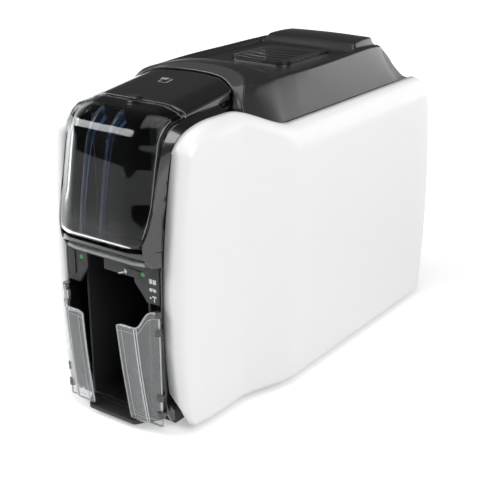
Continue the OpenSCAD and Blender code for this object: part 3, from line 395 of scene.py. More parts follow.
def slab(name: str, outline: Array, thickness: float,
         place: Callable[[Array], Array]) -> bpy.types.Object:
    """A flat outline given a thickness and put in place.

    Args:
        name: Object name.
        outline: Corners in the plane, shape (N, 2).
        thickness: Height of the slab over the plane.
        place: Turns (x, y, height) points, shape (..., 3), into places in millimetres.

    Returns:
        The new object.
    """
    n = len(outline)
    low = np.column_stack([outline, np.zeros(n)])
    high = low + [0, 0, thickness]
    ring = np.arange(n)
    after = np.roll(ring, -1)
    walls = np.stack([ring, after, after + n, ring + n], axis=1).tolist()
    faces = [list(ring[::-1]), list(ring + n)] + walls
    obj = weld(make_object(name, place(np.concatenate([low, high])), faces))
    obj.data.shade_flat()
    return obj


def cut(obj: bpy.types.Object, cutter: bpy.types.Object) -> bpy.types.Object:
    """Take one closed piece away from another for good, and remove the cutter."""
    mod = obj.modifiers.new("opening", "BOOLEAN")
    mod.operation, mod.solver, mod.object = "DIFFERENCE", "EXACT", cutter
    view = bpy.context.evaluated_depsgraph_get()
    solid = bpy.data.meshes.new_from_object(obj.evaluated_get(view))
    obj.modifiers.clear()
    obj.data = solid
    bpy.data.objects.remove(cutter)
    return obj


def frame_box(node: str) -> tuple[Array, Array]:
    """Low and high corner of a CAD node in millimetres."""
    points = np.array([v.co for v in frame["nodes"][node].data.vertices])/MM
    return points.min(axis=0), points.max(axis=0)


def smooth_by_angle_group(angle: float) -> bpy.types.NodeTree:
    """Geometry nodes that shade faces smooth and leave edges over an angle sharp."""
    group = bpy.data.node_groups.get("smooth_by_angle")
    if group:
        return group
    group = bpy.data.node_groups.new("smooth_by_angle", "GeometryNodeTree")
    for way in ("INPUT", "OUTPUT"):
        group.interface.new_socket("Geometry", in_out=way, socket_type="NodeSocketGeometry")
    source, sink = group.nodes.new("NodeGroupInput"), group.nodes.new("NodeGroupOutput")
    edge = group.nodes.new("GeometryNodeInputMeshEdgeAngle")
    compare = group.nodes.new("FunctionNodeCompare")
    compare.data_type = "FLOAT"
    compare.operation = "LESS_THAN"
    compare.inputs[1].default_value = math.radians(angle)
    faces = group.nodes.new("GeometryNodeSetShadeSmooth")
    edges = group.nodes.new("GeometryNodeSetShadeSmooth")
    edges.domain = "EDGE"
    group.links.new(edge.outputs[0], compare.inputs[0])
    group.links.new(source.outputs[0], faces.inputs["Geometry"])
    group.links.new(faces.outputs[0], edges.inputs["Geometry"])
    group.links.new(compare.outputs[0], edges.inputs["Shade Smooth"])
    group.links.new(edges.outputs[0], sink.inputs[0])
    return group


def finish_node(obj: bpy.types.Object, width: float, angle: float = 34.0) -> bpy.types.Object:
    """Finish a CAD node with modifiers alone: weld it, round its edges, shade it smooth.

    Args:
        obj: The CAD node.
        width: Rounding of its sharp edges in millimetres, or 0 for none.
        angle: Degrees over which an edge counts as sharp.

    Returns:
        The node.
    """
    obj.modifiers.new("weld", "WELD").merge_threshold = 2e-6
    if width > 0:
        mod = obj.modifiers.new("soft_edges", "BEVEL")
        mod.width = width*MM
        mod.segments = 2
        mod.limit_method = "ANGLE"
        mod.angle_limit = math.radians(angle)
    obj.modifiers.new("smooth_by_angle", "NODES").node_group = smooth_by_angle_group(angle)
    return obj


# ---------------------------------------------------------------------------
# Finishes
# ---------------------------------------------------------------------------

def new_group(name: str, inputs: dict[str, float], outputs: Sequence[str]) -> bpy.types.NodeTree:
    """An empty shader node group with named number sockets.

    Args:
        name: Group name.
        inputs: Input names with their default values.
        outputs: Output names.

    Returns:
        The group, holding its input and output nodes.
    """
    group = bpy.data.node_groups.new(name, "ShaderNodeTree")
    for label, value in inputs.items():
        socket = group.interface.new_socket(label, in_out="INPUT", socket_type="NodeSocketFloat")
        socket.default_value = value
    for label in outputs:
        group.interface.new_socket(label, in_out="OUTPUT", socket_type="NodeSocketFloat")
    group.nodes.new("NodeGroupInput")
    group.nodes.new("NodeGroupOutput")
    return group


def feed(tree: bpy.types.NodeTree, socket: bpy.types.NodeSocket, value: object) -> None:
    """Link another socket to an input, or set the input to a plain number."""
    if isinstance(value, bpy.types.NodeSocket):
        tree.links.new(value, socket)
    else:
        socket.default_value = value


def math_node(tree: bpy.types.NodeTree, kind: str, *values: object) -> bpy.types.NodeSocket:
    """A Math node fed by sockets or plain numbers, giving back its output."""
    node = tree.nodes.new("ShaderNodeMath")
    node.operation = kind
    for socket, value in zip(node.inputs, values):
        feed(tree, socket, value)
    return node.outputs[0]


def noise_node(tree: bpy.types.NodeTree, scale: object, detail: float,
               place: bpy.types.NodeSocket) -> bpy.types.NodeSocket:
    """A Noise texture on the given places, giving back its factor."""
    node = tree.nodes.new("ShaderNodeTexNoise")
    node.inputs["Detail"].default_value = detail
    feed(tree, node.inputs["Scale"], scale)
    tree.links.new(place, node.inputs["Vector"])
    return node.outputs[0]


def moulded_surface_group() -> bpy.types.NodeTree:
    """The group shared by every moulded finish.

    Height is fine spark grain plus the long, shallow waves of a moulding. Roughness is a base
    value that wanders with handling: base + spread (noise - 1/2).
    """
    group = bpy.data.node_groups.get("moulded_surface")
    if group:
        return group
    wave_scale, handling_scale = 9.0, 38.0
    group = new_group("moulded_surface", {
        "Grain Scale": 900.0, "Grain": 0.5, "Waves": 0.2, "Roughness": 0.4, "Spread": 0.05},
        ("Height", "Roughness"))
    source, sink = group.nodes["Group Input"], group.nodes["Group Output"]
    place = group.nodes.new("ShaderNodeTexCoord").outputs["Object"]
    grain = noise_node(group, source.outputs["Grain Scale"], 3.0, place)
    grain = math_node(group, "MULTIPLY", grain, source.outputs["Grain"])
    waves = noise_node(group, wave_scale, 1.0, place)
    waves = math_node(group, "MULTIPLY", waves, source.outputs["Waves"])
    group.links.new(math_node(group, "ADD", grain, waves), sink.inputs["Height"])
    handled = math_node(group, "SUBTRACT", noise_node(group, handling_scale, 4.0, place), 0.5)
    wander = math_node(group, "MULTIPLY", handled, source.outputs["Spread"])
    group.links.new(math_node(group, "ADD", wander, source.outputs["Roughness"]),
                    sink.inputs["Roughness"])
    return group


def brushed_group() -> bpy.types.NodeTree:
    """The group shared by the metals: long scratches along X as height and roughness."""
    group = bpy.data.node_groups.get("brushed_surface")
    if group:
        return group
    scratch_scale = (40.0, 900.0, 900.0)
    group = new_group("brushed_surface", {"Scratches": 0.3, "Roughness": 0.3, "Spread": 0.12},
                      ("Height", "Roughness"))
    source, sink = group.nodes["Group Input"], group.nodes["Group Output"]
    stretch = group.nodes.new("ShaderNodeMapping")
    stretch.inputs["Scale"].default_value = scratch_scale
    place = group.nodes.new("ShaderNodeTexCoord").outputs["Object"]
    group.links.new(place, stretch.inputs["Vector"])
    lines = noise_node(group, 1.0, 2.0, stretch.outputs[0])
    group.links.new(math_node(group, "MULTIPLY", lines, source.outputs["Scratches"]),
                    sink.inputs["Height"])
    centred = math_node(group, "SUBTRACT", lines, 0.5)
    wander = math_node(group, "MULTIPLY", centred, source.outputs["Spread"])
    group.links.new(math_node(group, "ADD", wander, source.outputs["Roughness"]),
                    sink.inputs["Roughness"])
    return group


@dataclass(frozen=True)
class Finish:
    """What every finish has. Colours are linear light, as the shader reads them.

    Attributes:
        name: Name of the finish.
        colour: Base colour.
        roughness: Roughness, or the base from which it wanders.
        spread: How far the roughness wanders.
        bump: Strength of the relief.
        grain: Share of the fine grain in the relief.
        grain_scale: How fine the grain is.
        waves: Share of the long waves in the relief.
    """
    name: str
    colour: Colour
    roughness: float = 0.4
    spread: float = 0.04
    bump: float = 0.02
    grain: float = 0.5
    grain_scale: float = 900.0
    waves: float = 0.1

    def build(self, mat: bpy.types.Material, shader: bpy.types.ShaderNode) -> None:
        """Link the shared surface group to the shader."""
        self.link_surface(mat.node_tree, shader, moulded_surface_group(), {
            "Grain Scale": self.grain_scale, "Grain": self.grain, "Waves": self.waves,
            "Roughness": self.roughness, "Spread": self.spread})

    def link_surface(self, tree: bpy.types.NodeTree, shader: bpy.types.ShaderNode,
                     group: bpy.types.NodeTree, values: dict[str, float]) -> None:
        """Place a surface group and join what varies to the shader's roughness and normal.

        An even roughness sits on the shader itself, and a flat surface gets no relief.

        Args:
            tree: The material's nodes.
            shader: Its Principled BSDF.
            group: The surface group.
            values: What the group's inputs are set to.
        """
        shader.inputs["Roughness"].default_value = self.roughness
        if not (self.spread or self.bump):
            return
        node = tree.nodes.new("ShaderNodeGroup")
        node.node_tree = group
        for label, value in values.items():
            node.inputs[label].default_value = value
        if self.spread:
            tree.links.new(node.outputs["Roughness"], shader.inputs["Roughness"])
        if not self.bump:
            return
        bump = tree.nodes.new("ShaderNodeBump")
        bump.inputs["Strength"].default_value = self.bump
        bump.inputs["Distance"].default_value = MM
        tree.links.new(node.outputs["Height"], bump.inputs["Height"])
        tree.links.new(bump.outputs["Normal"], shader.inputs["Normal"])

    def material(self) -> bpy.types.Material:
        """The finish as a material, made once."""
        label = f"{self.name}_finish"
        mat = bpy.data.materials.get(label)
        if mat:
            return mat
        mat = bpy.data.materials.new(label)
        mat.use_nodes = True
        shader = mat.node_tree.nodes["Principled BSDF"]
        shader.inputs["Base Color"].default_value = (*self.colour, 1.0)
        self.build(mat, shader)
        return mat


@dataclass(frozen=True)
class Gloss(Finish):
    """A polished moulding: a thin clear skin over the colour.

    Attributes:
        coat: Weight of the skin.
        coat_roughness: Roughness of the skin.
    """
    coat: float = 0.6
    coat_roughness: float = 0.05

    def build(self, mat: bpy.types.Material, shader: bpy.types.ShaderNode) -> None:
        """Add the polished skin to the shared surface."""
        super().build(mat, shader)
        shader.inputs["Coat Weight"].default_value = self.coat
        shader.inputs["Coat Roughness"].default_value = self.coat_roughness


@dataclass(frozen=True)
class Clear(Finish):
    """A see-through moulding, tinted by its colour; the rest of it is milky.

    Attributes:
        ior: Index of refraction.
        through: Share of the light that goes through.
    """
    ior: float = 1.5
    through: float = 1.0

    def build(self, mat: bpy.types.Material, shader: bpy.types.ShaderNode) -> None:
        """Let light through the shared surface."""
        super().build(mat, shader)
        shader.inputs["Transmission Weight"].default_value = self.through
        shader.inputs["IOR"].default_value = self.ior


@dataclass(frozen=True)
class Metal(Finish):
    """A brushed, ground or plated metal."""

    def build(self, mat: bpy.types.Material, shader: bpy.types.ShaderNode) -> None:
        """Link the brushed group and turn the shader into a metal."""
        shader.inputs["Metallic"].default_value = 1.0
        self.link_surface(mat.node_tree, shader, brushed_group(), {
            "Scratches": self.grain, "Roughness": self.roughness, "Spread": self.spread})


@dataclass(frozen=True)
class Lit(Finish):
    """A lens that glows with its own colour.

    Attributes:
        glow: Strength of the glow.
    """
    glow: float = 1.0

    def build(self, mat: bpy.types.Material, shader: bpy.types.ShaderNode) -> None:
        """Add the glow to the shared surface."""
        super().build(mat, shader)
        shader.inputs["Emission Color"].default_value = (*self.colour, 1.0)
        shader.inputs["Emission Strength"].default_value = self.glow


class Look(Enum):
    """The finishes on this printer and its studio floor."""
    WHITE_SHELL = Gloss("white_shell", (0.88, 0.88, 0.885), 0.38, 0.05, 0.02, grain=0.3,
                        coat=0.25, coat_roughness=0.12)
    BLACK_GLOSS = Gloss("black_gloss", (0.006, 0.006, 0.007), 0.22, 0.05, 0.01, grain=0.1,
                        waves=0.4, coat=1.0, coat_roughness=0.03)
    LID_BLACK = Gloss("lid_black", (0.012, 0.012, 0.013), 0.38, 0.05, 0.04,
                      coat=0.3, coat_roughness=0.30)
    GRIP_BLACK = Gloss("grip_black", (0.010, 0.011, 0.013), 0.26, 0.05, 0.03, grain=0.4,
                       coat=0.8, coat_roughness=0.1)
    GREY_TRIM = Gloss("grey_trim", (0.050, 0.052, 0.055), 0.36, 0.05, 0.03,
                      coat=0.3, coat_roughness=0.15)
    DARK_MOULDING = Finish("dark_moulding", (0.018, 0.019, 0.020), 0.5, 0.06, 0.12, grain=0.8)
    # Near black: dark inner parts, and the white panels' inner faces painted dark as shade.
    INNER_BLACK_AND_SHADE = Finish("inner_black", (0.010, 0.010, 0.011), 0.55, 0.06, 0.1)
    SMOKED_WINDOW = Clear("smoked_window", (0.80, 0.83, 0.85), 0.012, 0.0, 0.0, ior=1.29)
    CLEAR_WING = Clear("clear_wing", (0.84, 0.87, 0.88), 0.02, 0.0, 0.0, through=0.92)
    # Pale grey for the tubes along the wings' edges and folds: painted highlights of the clear edges.
    WING_EDGE = Finish("wing_edge", (0.62, 0.64, 0.66), 0.25, 0.02, 0.0)
    LIGHT_PIPE = Clear("light_pipe", (0.62, 0.65, 0.66), 0.18, 0.05, 0.02, through=0.6)
    BLUE_TINT = Clear("blue_tint", (0.09, 0.16, 0.29), 0.08, 0.02, 0.0, through=0.85)
    GREEN_LIGHT = Lit("green_light", (0.02, 0.26, 0.05), 0.3, glow=0.2)
    PALE_MARK = Finish("pale_mark", (0.62, 0.64, 0.66), 0.5, 0.03, 0.0)
    # Dim grey: printed marks on the hood, and the lines that paint highlights along the window's edges.
    DIM_MARK_AND_HIGHLIGHT = Finish("dim_mark", (0.30, 0.31, 0.32), 0.5, 0.03, 0.0)
    FOOT_RUBBER = Finish("foot_rubber", (0.02, 0.02, 0.022), 0.75, 0.08, 0.2)
    ROLLER_RUBBER = Finish("roller_rubber", (0.035, 0.035, 0.04), 0.62, 0.06, 0.12)
    PLATED_STEEL = Metal("plated_steel", (0.56, 0.57, 0.58), 0.32, 0.12, 0.04, grain=0.4)
    TURNED_STEEL = Metal("turned_steel", (0.62, 0.62, 0.63), 0.24, 0.08, 0.02, grain=0.3)
    BRASS = Metal("brass", (0.66, 0.47, 0.18), 0.28, 0.1, 0.02, grain=0.3)
    HEAT_SINK = Metal("heat_sink", (0.60, 0.61, 0.63), 0.38, 0.1, 0.03, grain=0.4)
    MOTOR_CAN = Metal("motor_can", (0.42, 0.43, 0.44), 0.35, 0.1, 0.03, grain=0.4)
    GEAR_ACETAL = Finish("gear_acetal", (0.70, 0.67, 0.58), 0.42, 0.05, 0.03)
    RIBBON_FILM = Gloss("ribbon_film", (0.03, 0.03, 0.05), 0.3, 0.08, 0.02)
    CRADLE_BLUE = Finish("cradle_blue", (0.04, 0.13, 0.30), 0.42, 0.05, 0.05)
    CIRCUIT_GREEN = Gloss("circuit_green", (0.02, 0.13, 0.05), 0.4, 0.08, 0.04, coat=0.4)
    SOCKET_BLACK = Finish("socket_black", (0.012, 0.012, 0.013), 0.5, 0.05, 0.05)
    STUDIO_FLOOR = Finish("studio_floor", (0.80, 0.80, 0.80), 0.7, 0.0, 0.0)


def dress(obj: bpy.types.Object, look: Look, body: Optional[str] = None,
          slot: Optional[str] = None, replaces: Sequence[str] = ()) -> bpy.types.Object:
    """Give a piece its finish and tie it to the CAD.

    Args:
        obj: The piece, in place.
        look: Its finish.
        body: The CAD body it moves with. CAD nodes have theirs already.
        slot: The record's material slot.
        replaces: CAD nodes it stands for.

    Returns:
        The piece.
    """
    obj.data.materials.clear()
    obj.data.materials.append(look.value.material())
    if body:
        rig.ride(obj, body)
    if slot:
        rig.slot(obj, slot)
    if replaces:
        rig.replaces(obj, *replaces)
    log.info("%s: %s, %d faces", obj.name, look.value.name, len(obj.data.polygons))
    return obj


def paint_inner_shade(obj: bpy.types.Object, look: Look, outward: Array, turned: float = -0.2) -> None:
    """Give the faces that look away from a direction a second, dark finish: painted shade inside the body.

    Args:
        obj: The piece.
        look: The lining's finish.
        outward: The direction in which the piece's outside looks.
        turned: A face is lined where its normal times that direction is less than this.
    """
    obj.data.materials.append(look.value.material())
    normals = np.empty(len(obj.data.polygons)*3)
    obj.data.polygons.foreach_get("normal", normals)
    inner = (normals.reshape(-1, 3)@outward < turned).astype(np.int32)
    obj.data.polygons.foreach_set("material_index", inner)


# ---------------------------------------------------------------------------
# The body's form
# ---------------------------------------------------------------------------

@dataclass(frozen=True)
class Body:
    """Main sizes of the body, in millimetres, and the lines that every cover follows.

    Depths run from the front, which is negative, to the rear.

    Attributes:
        front: Depth of the front face.
        rear: Depth of the rear face.
        panel_front: Depth of the side panels' front edge.
        drawn_from: Depth in front of which the panels are drawn in.
        draw_in: How far they are drawn in at their front edge.
        flare: Depth at which they begin to flare out.
        flare_length: Length of the flare.
        front_half: Half width in front of the flare.
        rear_half: Half width behind it.
        shoulder: Height of the panels in front of the flare.
        rear_height: Height behind it.
        step_lag: How far behind the flare the top edge steps down.
        lift: Height of the panels' bottom edge.
        wall: Thickness of a panel.
        panel_depth: How far a panel's rounded rim reaches in from its flank.
        rim_gap: Gap between a panel and the covers beside it.
        top_front, top_rear, bottom_front, bottom_rear: Length and height of a panel's corners.
        front_bow, rear_bow: Strength and middle height of the bow of a panel's edges.
        bow_reach: Length over which a bow fades out.
    """
    front: float = -184.0
    rear: float = 184.0
    panel_front: float = -166.0
    drawn_from: float = -125.0
    draw_in: float = 6.3
    flare: float = -104.0
    flare_length: float = 56.0
    front_half: float = 64.5
    rear_half: float = 78.5
    shoulder: float = 224.5
    rear_height: float = 208.0
    step_lag: float = 4.0
    lift: float = 4.0
    wall: float = 2.5
    panel_depth: float = 13.3
    rim_gap: float = 0.6
    top_front: tuple[float, float] = (45.0, 17.0)
    top_rear: tuple[float, float] = (36.0, 30.0)
    bottom_front: tuple[float, float] = (12.0, 28.0)
    bottom_rear: tuple[float, float] = (16.0, 22.0)
    front_bow: tuple[float, float] = (0.00075, 90.0)
    rear_bow: tuple[float, float] = (0.00116, 85.0)
    bow_reach: float = 60.0

    def half_width(self, y: Array) -> Array:
        """Half the width over the panels: straight, drawn in at the front, flared behind."""
        drawn = np.maximum(0, (self.drawn_from - y)/(self.drawn_from - self.panel_front))
        flared = smooth((y - self.flare)/self.flare_length)
        return self.front_half - self.draw_in*drawn**2 + (self.rear_half - self.front_half)*flared

    def top_line(self, y: Array) -> Array:
        """Height of the panels' top edge before its corners are rounded."""
        return mix(self.shoulder, self.rear_height,
                   smooth((y - self.flare - self.step_lag)/self.flare_length))

    @staticmethod
    def corner(d: Array, reach: float, drop: float) -> Array:
        """How far an elliptic corner falls at distance d: drop (1 - sqrt(1 - (1 - d/reach)^2))."""
        return drop*(1 - np.sqrt(np.maximum(0, 1 - ramp(1 - np.maximum(0, d)/reach)**2)))

    @staticmethod
    def fall(d: Array, width: float, n: float) -> Array:
        """Edge rounding as a share of its depth: 1 - (1 - (1 - d/w)^n)^(1/n)."""
        return 1 - (1 - ramp(1 - np.maximum(0, d)/width)**n)**(1/n)

    def panel_top(self, y: Array) -> Array:
        """Top edge of a panel with both corners."""
        return (self.top_line(y) - self.corner(y - self.panel_front, *self.top_front)
                - self.corner(self.rear - y, *self.top_rear))

    def panel_bottom(self, y: Array) -> Array:
        """Bottom edge of a panel with both corners."""
        return (self.lift + self.corner(y - self.panel_front, *self.bottom_front)
                + self.corner(self.rear - y, *self.bottom_rear))

    def bow(self, y: Array, z: Array) -> Array:
        """Shift in depth that bows a panel's edges: k (z - middle)^2, fading to the square."""
        (k0, middle0), (k1, middle1) = self.front_bow, self.rear_bow
        front = k0*(z - middle0)**2*np.maximum(0, 1 - (y - self.panel_front)/self.bow_reach)**2
        return front - k1*(z - middle1)**2*np.maximum(0, 1 - (self.rear - y)/self.bow_reach)**2

    def rim(self, y: Array) -> Array:
        """Half width to which the covers between the panels reach."""
        return self.half_width(y) - self.panel_depth - self.rim_gap


BODY = Body()


@dataclass
class SidePanels:
    """The two white flared panels with their rounded, bowed edges.

    Attributes:
        stations: Points along a panel.
        section: Points up a panel.
        skin: How far the fine surface lies inside the CAD's.
        rear_inset: Distance of the rear edge from the body's rear face.
        end_round: Width of the rounding of the front edge and of the bottom edge.
        rear_round: Width of the rounding of the rear edge.
        top_round: Width of the top edge's rounding in front of the flare and behind it.
        top_power: Fullness of the top rounding; 2 is a circle.
        bottom_depth: How far the bottom rounding reaches in.
        mitre: How sharply neighbouring roundings meet.
    """
    stations: int = 150
    section: int = 96
    skin: float = 0.02
    rear_inset: float = 0.14
    end_round: float = 6.0
    rear_round: float = 36.0
    top_round: tuple[float, float] = (12.0, 21.0)
    top_power: float = 1.8
    bottom_depth: float = 5.0
    mitre: int = 12

    def surface(self, inset: float) -> Array:
        """Grid of one face of the right panel.

        Across a panel the half width is the body's less the 12-norm of four edge roundings, so
        each rounding fades into the flank and neighbours meet in a soft mitre. The rows stand
        closer towards both ends: half even steps, half (1 - cos)/2.

        Args:
            inset: Distance inside the outer face.

        Returns:
            Points in millimetres, shape (stations, section, 3).
        """
        b = BODY
        t = np.linspace(0, 1, self.stations)
        spread = 0.5*t + 0.5*(1 - np.cos(np.pi*t))/2
        rear = b.rear - self.rear_inset - inset
        y0 = mix(b.panel_front, b.rear, spread)[:, None]
        y = mix(b.panel_front + inset, rear, spread)[:, None]
        top, bottom = b.panel_top(y0) - inset, b.panel_bottom(y0) + inset
        top_round = mix(*self.top_round, smooth((y0 - b.flare)/b.flare_length))
        low, high = (np.linspace(0, np.pi/2, self.section//n) for n in (6, 3))
        flat = np.linspace(0, 1, self.section - len(low) - len(high) + 2)[1:-1]
        z = np.concatenate([bottom + self.end_round*(1 - np.cos(low)),
                            mix(bottom + self.end_round, top - top_round, flat),
                            top - top_round*np.cos(high)], axis=1)
        shift = b.bow(y, z)
        depth = b.panel_depth - inset
        edges = np.stack(np.broadcast_arrays(
            depth*b.fall(y - b.panel_front - inset, self.end_round, 2),
            depth*b.fall(rear - y, self.rear_round, 2),
            depth*b.fall(top - z, top_round, self.top_power),
            (self.bottom_depth - inset)*b.fall(z - bottom, self.end_round, 2)))
        norm = (edges**self.mitre).sum(axis=0)**(1/self.mitre)
        return xyz(b.half_width(y + shift) - inset - norm, y + shift, z)

    def build(self) -> None:
        """Lay both panels over their CAD nodes, each with its inner faces painted dark as shade."""
        outer, inner = self.surface(self.skin), self.surface(BODY.wall)
        for side, sign in SIDES:
            obj = shell(f"{side}_panel_surface", mirrored(outer, sign), mirrored(inner, sign))
            dress(obj, Look.WHITE_SHELL, "chassis", "white_shell", [f"{side}_side_panel"])
            # The panel's inner faces are painted black: shade inside the body.
            paint_inner_shade(obj, Look.INNER_BLACK_AND_SHADE, np.array([sign, 0.0, 0.0]))


@dataclass(frozen=True)
class CoverForm:
    """The outline that the hopper window, its hood and the bezel follow.

    A row's rank says where it stands: 0 to 5 in the curl at the foot, 5 to 10 on the face,
    10 to 16 on the brow and 16 to 17 on the top.

    Attributes:
        half: Half width.
        facet: Half width of the flat middle facet on the face.
        spread: How much wider that facet is on the top.
        facet_ranks: First rank and number of ranks of that widening.
        bottom: Height of the foot.
        curl: Radius of the curl at the foot.
        curl_turn: Degrees by which the curl turns under.
        start: Height at which the face begins to lean back.
        end: Height at which the face ends in the brow.
        slope, steepening: Lean of the face: slope d + steepening d^2 at d over its start.
        radius: Radius of the brow.
        end_angle: Lean of the top, in degrees.
        window_rear: Depth of the window's rear edge.
        corner_drop: Depth of the corners at the foot, at the brow's foot and on the top.
        drop_rise: Height from which, and height over which, the corners deepen.
        foot_skirt: Depth of the sides at the foot and at the face's foot.
        skirt: Depth of the sides above.
        narrowing: How much the face's half width is less than the top's.
        waist, waist_height, waist_reach: Further narrowing at the foot, the height at which it
            begins and the height over which it is reached.
        corner_round, facet_round: Reach of the roundings of the corners and the facet's edges.
        rows: Rows in the curl, on the face, on the brow and on the top.
        hood_rear: Distance of the hood's rear edge behind the front face.
        hood_bow: How far that edge bows forward at the sides.
    """
    half: float = 43.1
    facet: float = 26.5
    spread: float = 3.4
    facet_ranks: tuple[float, float] = (8.0, 9.0)
    bottom: float = 143.0
    curl: float = 5.0
    curl_turn: float = 65.0
    start: float = 148.0
    end: float = 212.0
    slope: float = 0.13
    steepening: float = 0.00092
    radius: float = 27.3
    end_angle: float = 83.2
    window_rear: float = -136.0
    corner_drop: tuple[float, float, float] = (4.2, 10.4, 4.7)
    drop_rise: tuple[float, float] = (145.0, 30.0)
    foot_skirt: tuple[float, float] = (8.0, 9.0)
    skirt: float = 14.0
    narrowing: float = 1.6
    waist: float = 4.8
    waist_height: float = 170.0
    waist_reach: float = 25.0
    corner_round: float = 2.6
    facet_round: float = 5.0
    rows: tuple[int, int, int, int] = (7, 26, 22, 5)
    hood_rear: float = 111.5
    hood_bow: float = 11.0

    def face(self, z: Array) -> Array:
        """Depth of the flat middle facet at a height: a slope that steepens with height."""
        d = np.maximum(z, self.start) - self.start
        return BODY.front + self.slope*d + self.steepening*d*d

    def angle(self, z: Array) -> Array:
        """How far the facet leans back, in radians: arctan(slope + 2 steepening d)."""
        return np.arctan(self.slope + 2*self.steepening*(np.maximum(z, self.start) - self.start))

    @property
    def brow(self) -> tuple[float, float]:
        """Centre (y, z) of the arc between face and top."""
        a = float(self.angle(self.end))
        y = float(self.face(self.end)) + self.radius*math.cos(a)
        return y, self.end - self.radius*math.sin(a)

    def top(self, y: Array) -> Array:
        """Height of the cover's top at a depth."""
        cy, cz = self.brow
        a = math.radians(self.end_angle)
        rise = math.tan(math.radians(90 - self.end_angle))
        return cz + self.radius*math.sin(a) + rise*(y - cy + self.radius*math.cos(a))

    def rear_edge(self, x: Array) -> Array:
        """Depth of the hood's bowed rear edge."""
        return BODY.front + self.hood_rear - self.hood_bow*(np.abs(x)/self.half)**2

    def stations(self) -> dict[str, Array]:
        """Sections of the window from its lower curl over the face and brow to its rear edge.

        Returns:
            For each section its place (y, z), lean, corner drop, skirt, half width and half facet.
        """
        turn, end = math.radians(self.curl_turn), math.radians(self.end_angle)
        low_z = self.bottom + self.curl*math.sin(turn)
        in_curl, on_face, on_brow, on_top = self.rows
        a = arc(-self.curl_turn, 0, in_curl)[:-1]
        z = np.linspace(low_z, self.end, on_face)
        cy, cz = self.brow
        b = np.linspace(float(self.angle(self.end)), end, on_brow)[1:]
        last = np.linspace(0, 1, on_top)[1:]
        y_b = cy - self.radius*np.cos(b)
        top_y = mix(y_b[-1], self.window_rear, last)
        y = np.concatenate([BODY.front + self.curl*(1 - np.cos(a)), self.face(z), y_b, top_y])
        zz = np.concatenate([low_z + self.curl*np.sin(a), z, cz + self.radius*np.sin(b),
                             self.top(top_y)])
        lean = np.concatenate([a, self.angle(z), b, np.full(len(last), end)])
        rank = np.concatenate([np.linspace(0, 5, len(a) + 1)[:-1], np.linspace(5, 10, len(z)),
                               np.linspace(10, 16, len(b) + 1)[1:], 16 + last])
        foot, middle, rear = self.corner_drop
        low, height = self.drop_rise
        drop = np.where(rank > 10, mix(middle, rear, ramp((rank - 10)/6)),
                        mix(foot, middle, ramp((zz - low)/height)))
        side = mix(mix(*self.foot_skirt, ramp(rank/5)), self.skirt, ramp((rank - 5)/3))
        half = (self.half - self.narrowing*ramp((16 - rank)/6)
                - self.waist*ramp((self.waist_height - zz)/self.waist_reach)**2)
        first, count = self.facet_ranks
        facet = self.facet + self.spread*ramp((rank - first)/count)
        return {"y": y, "z": zz, "lean": lean, "drop": drop, "side": side, "half": half,
                "facet": facet}

    def section(self, drop: Array, side: Array, half: Array, facet: Array, t: float,
                steps: int = 7) -> Array:
        """Sections across the cover, as (x, depth below the facet) pairs.

        Args:
            drop: Depth of the outer corners.
            side: Depth of the lower edge.
            half: Half width.
            facet: Half width of the middle facet.
            t: Distance inside the outer face.
            steps: Points on each rounded corner.

        Returns:
            Pairs, shape (N, M, 2).
        """
        lean = np.arctan2(drop, half - facet)
        fx, fd = facet - t*np.tan(lean/2), np.full_like(drop, t)
        cx, cd = half - t, drop + t*np.tan((np.pi/2 - lean)/2)
        right = [(cx, side), (cx, cd), (fx, fd)]
        left = [(-x, d) for x, d in right[::-1]]
        corners = np.stack([np.stack(p, axis=-1) for p in right + left], axis=1)
        radii = [0, self.corner_round, self.facet_round]
        return rounded_path(corners, radii + radii[::-1], steps)

    def place(self, s: dict[str, Array], section: Array) -> Array:
        """Set sections across the cover at their stations.

        In the lower curl the turn fades with depth, which keeps the skirt from folding.
        """
        x, d = section[..., 0], section[..., 1]
        lean = s["lean"][:, None]
        a = np.where(lean < 0, lean*np.maximum(0, 1 - d/self.curl), lean)
        return xyz(x, s["y"][:, None] + d*np.cos(a), s["z"][:, None] - d*np.sin(a))


COVER = CoverForm()


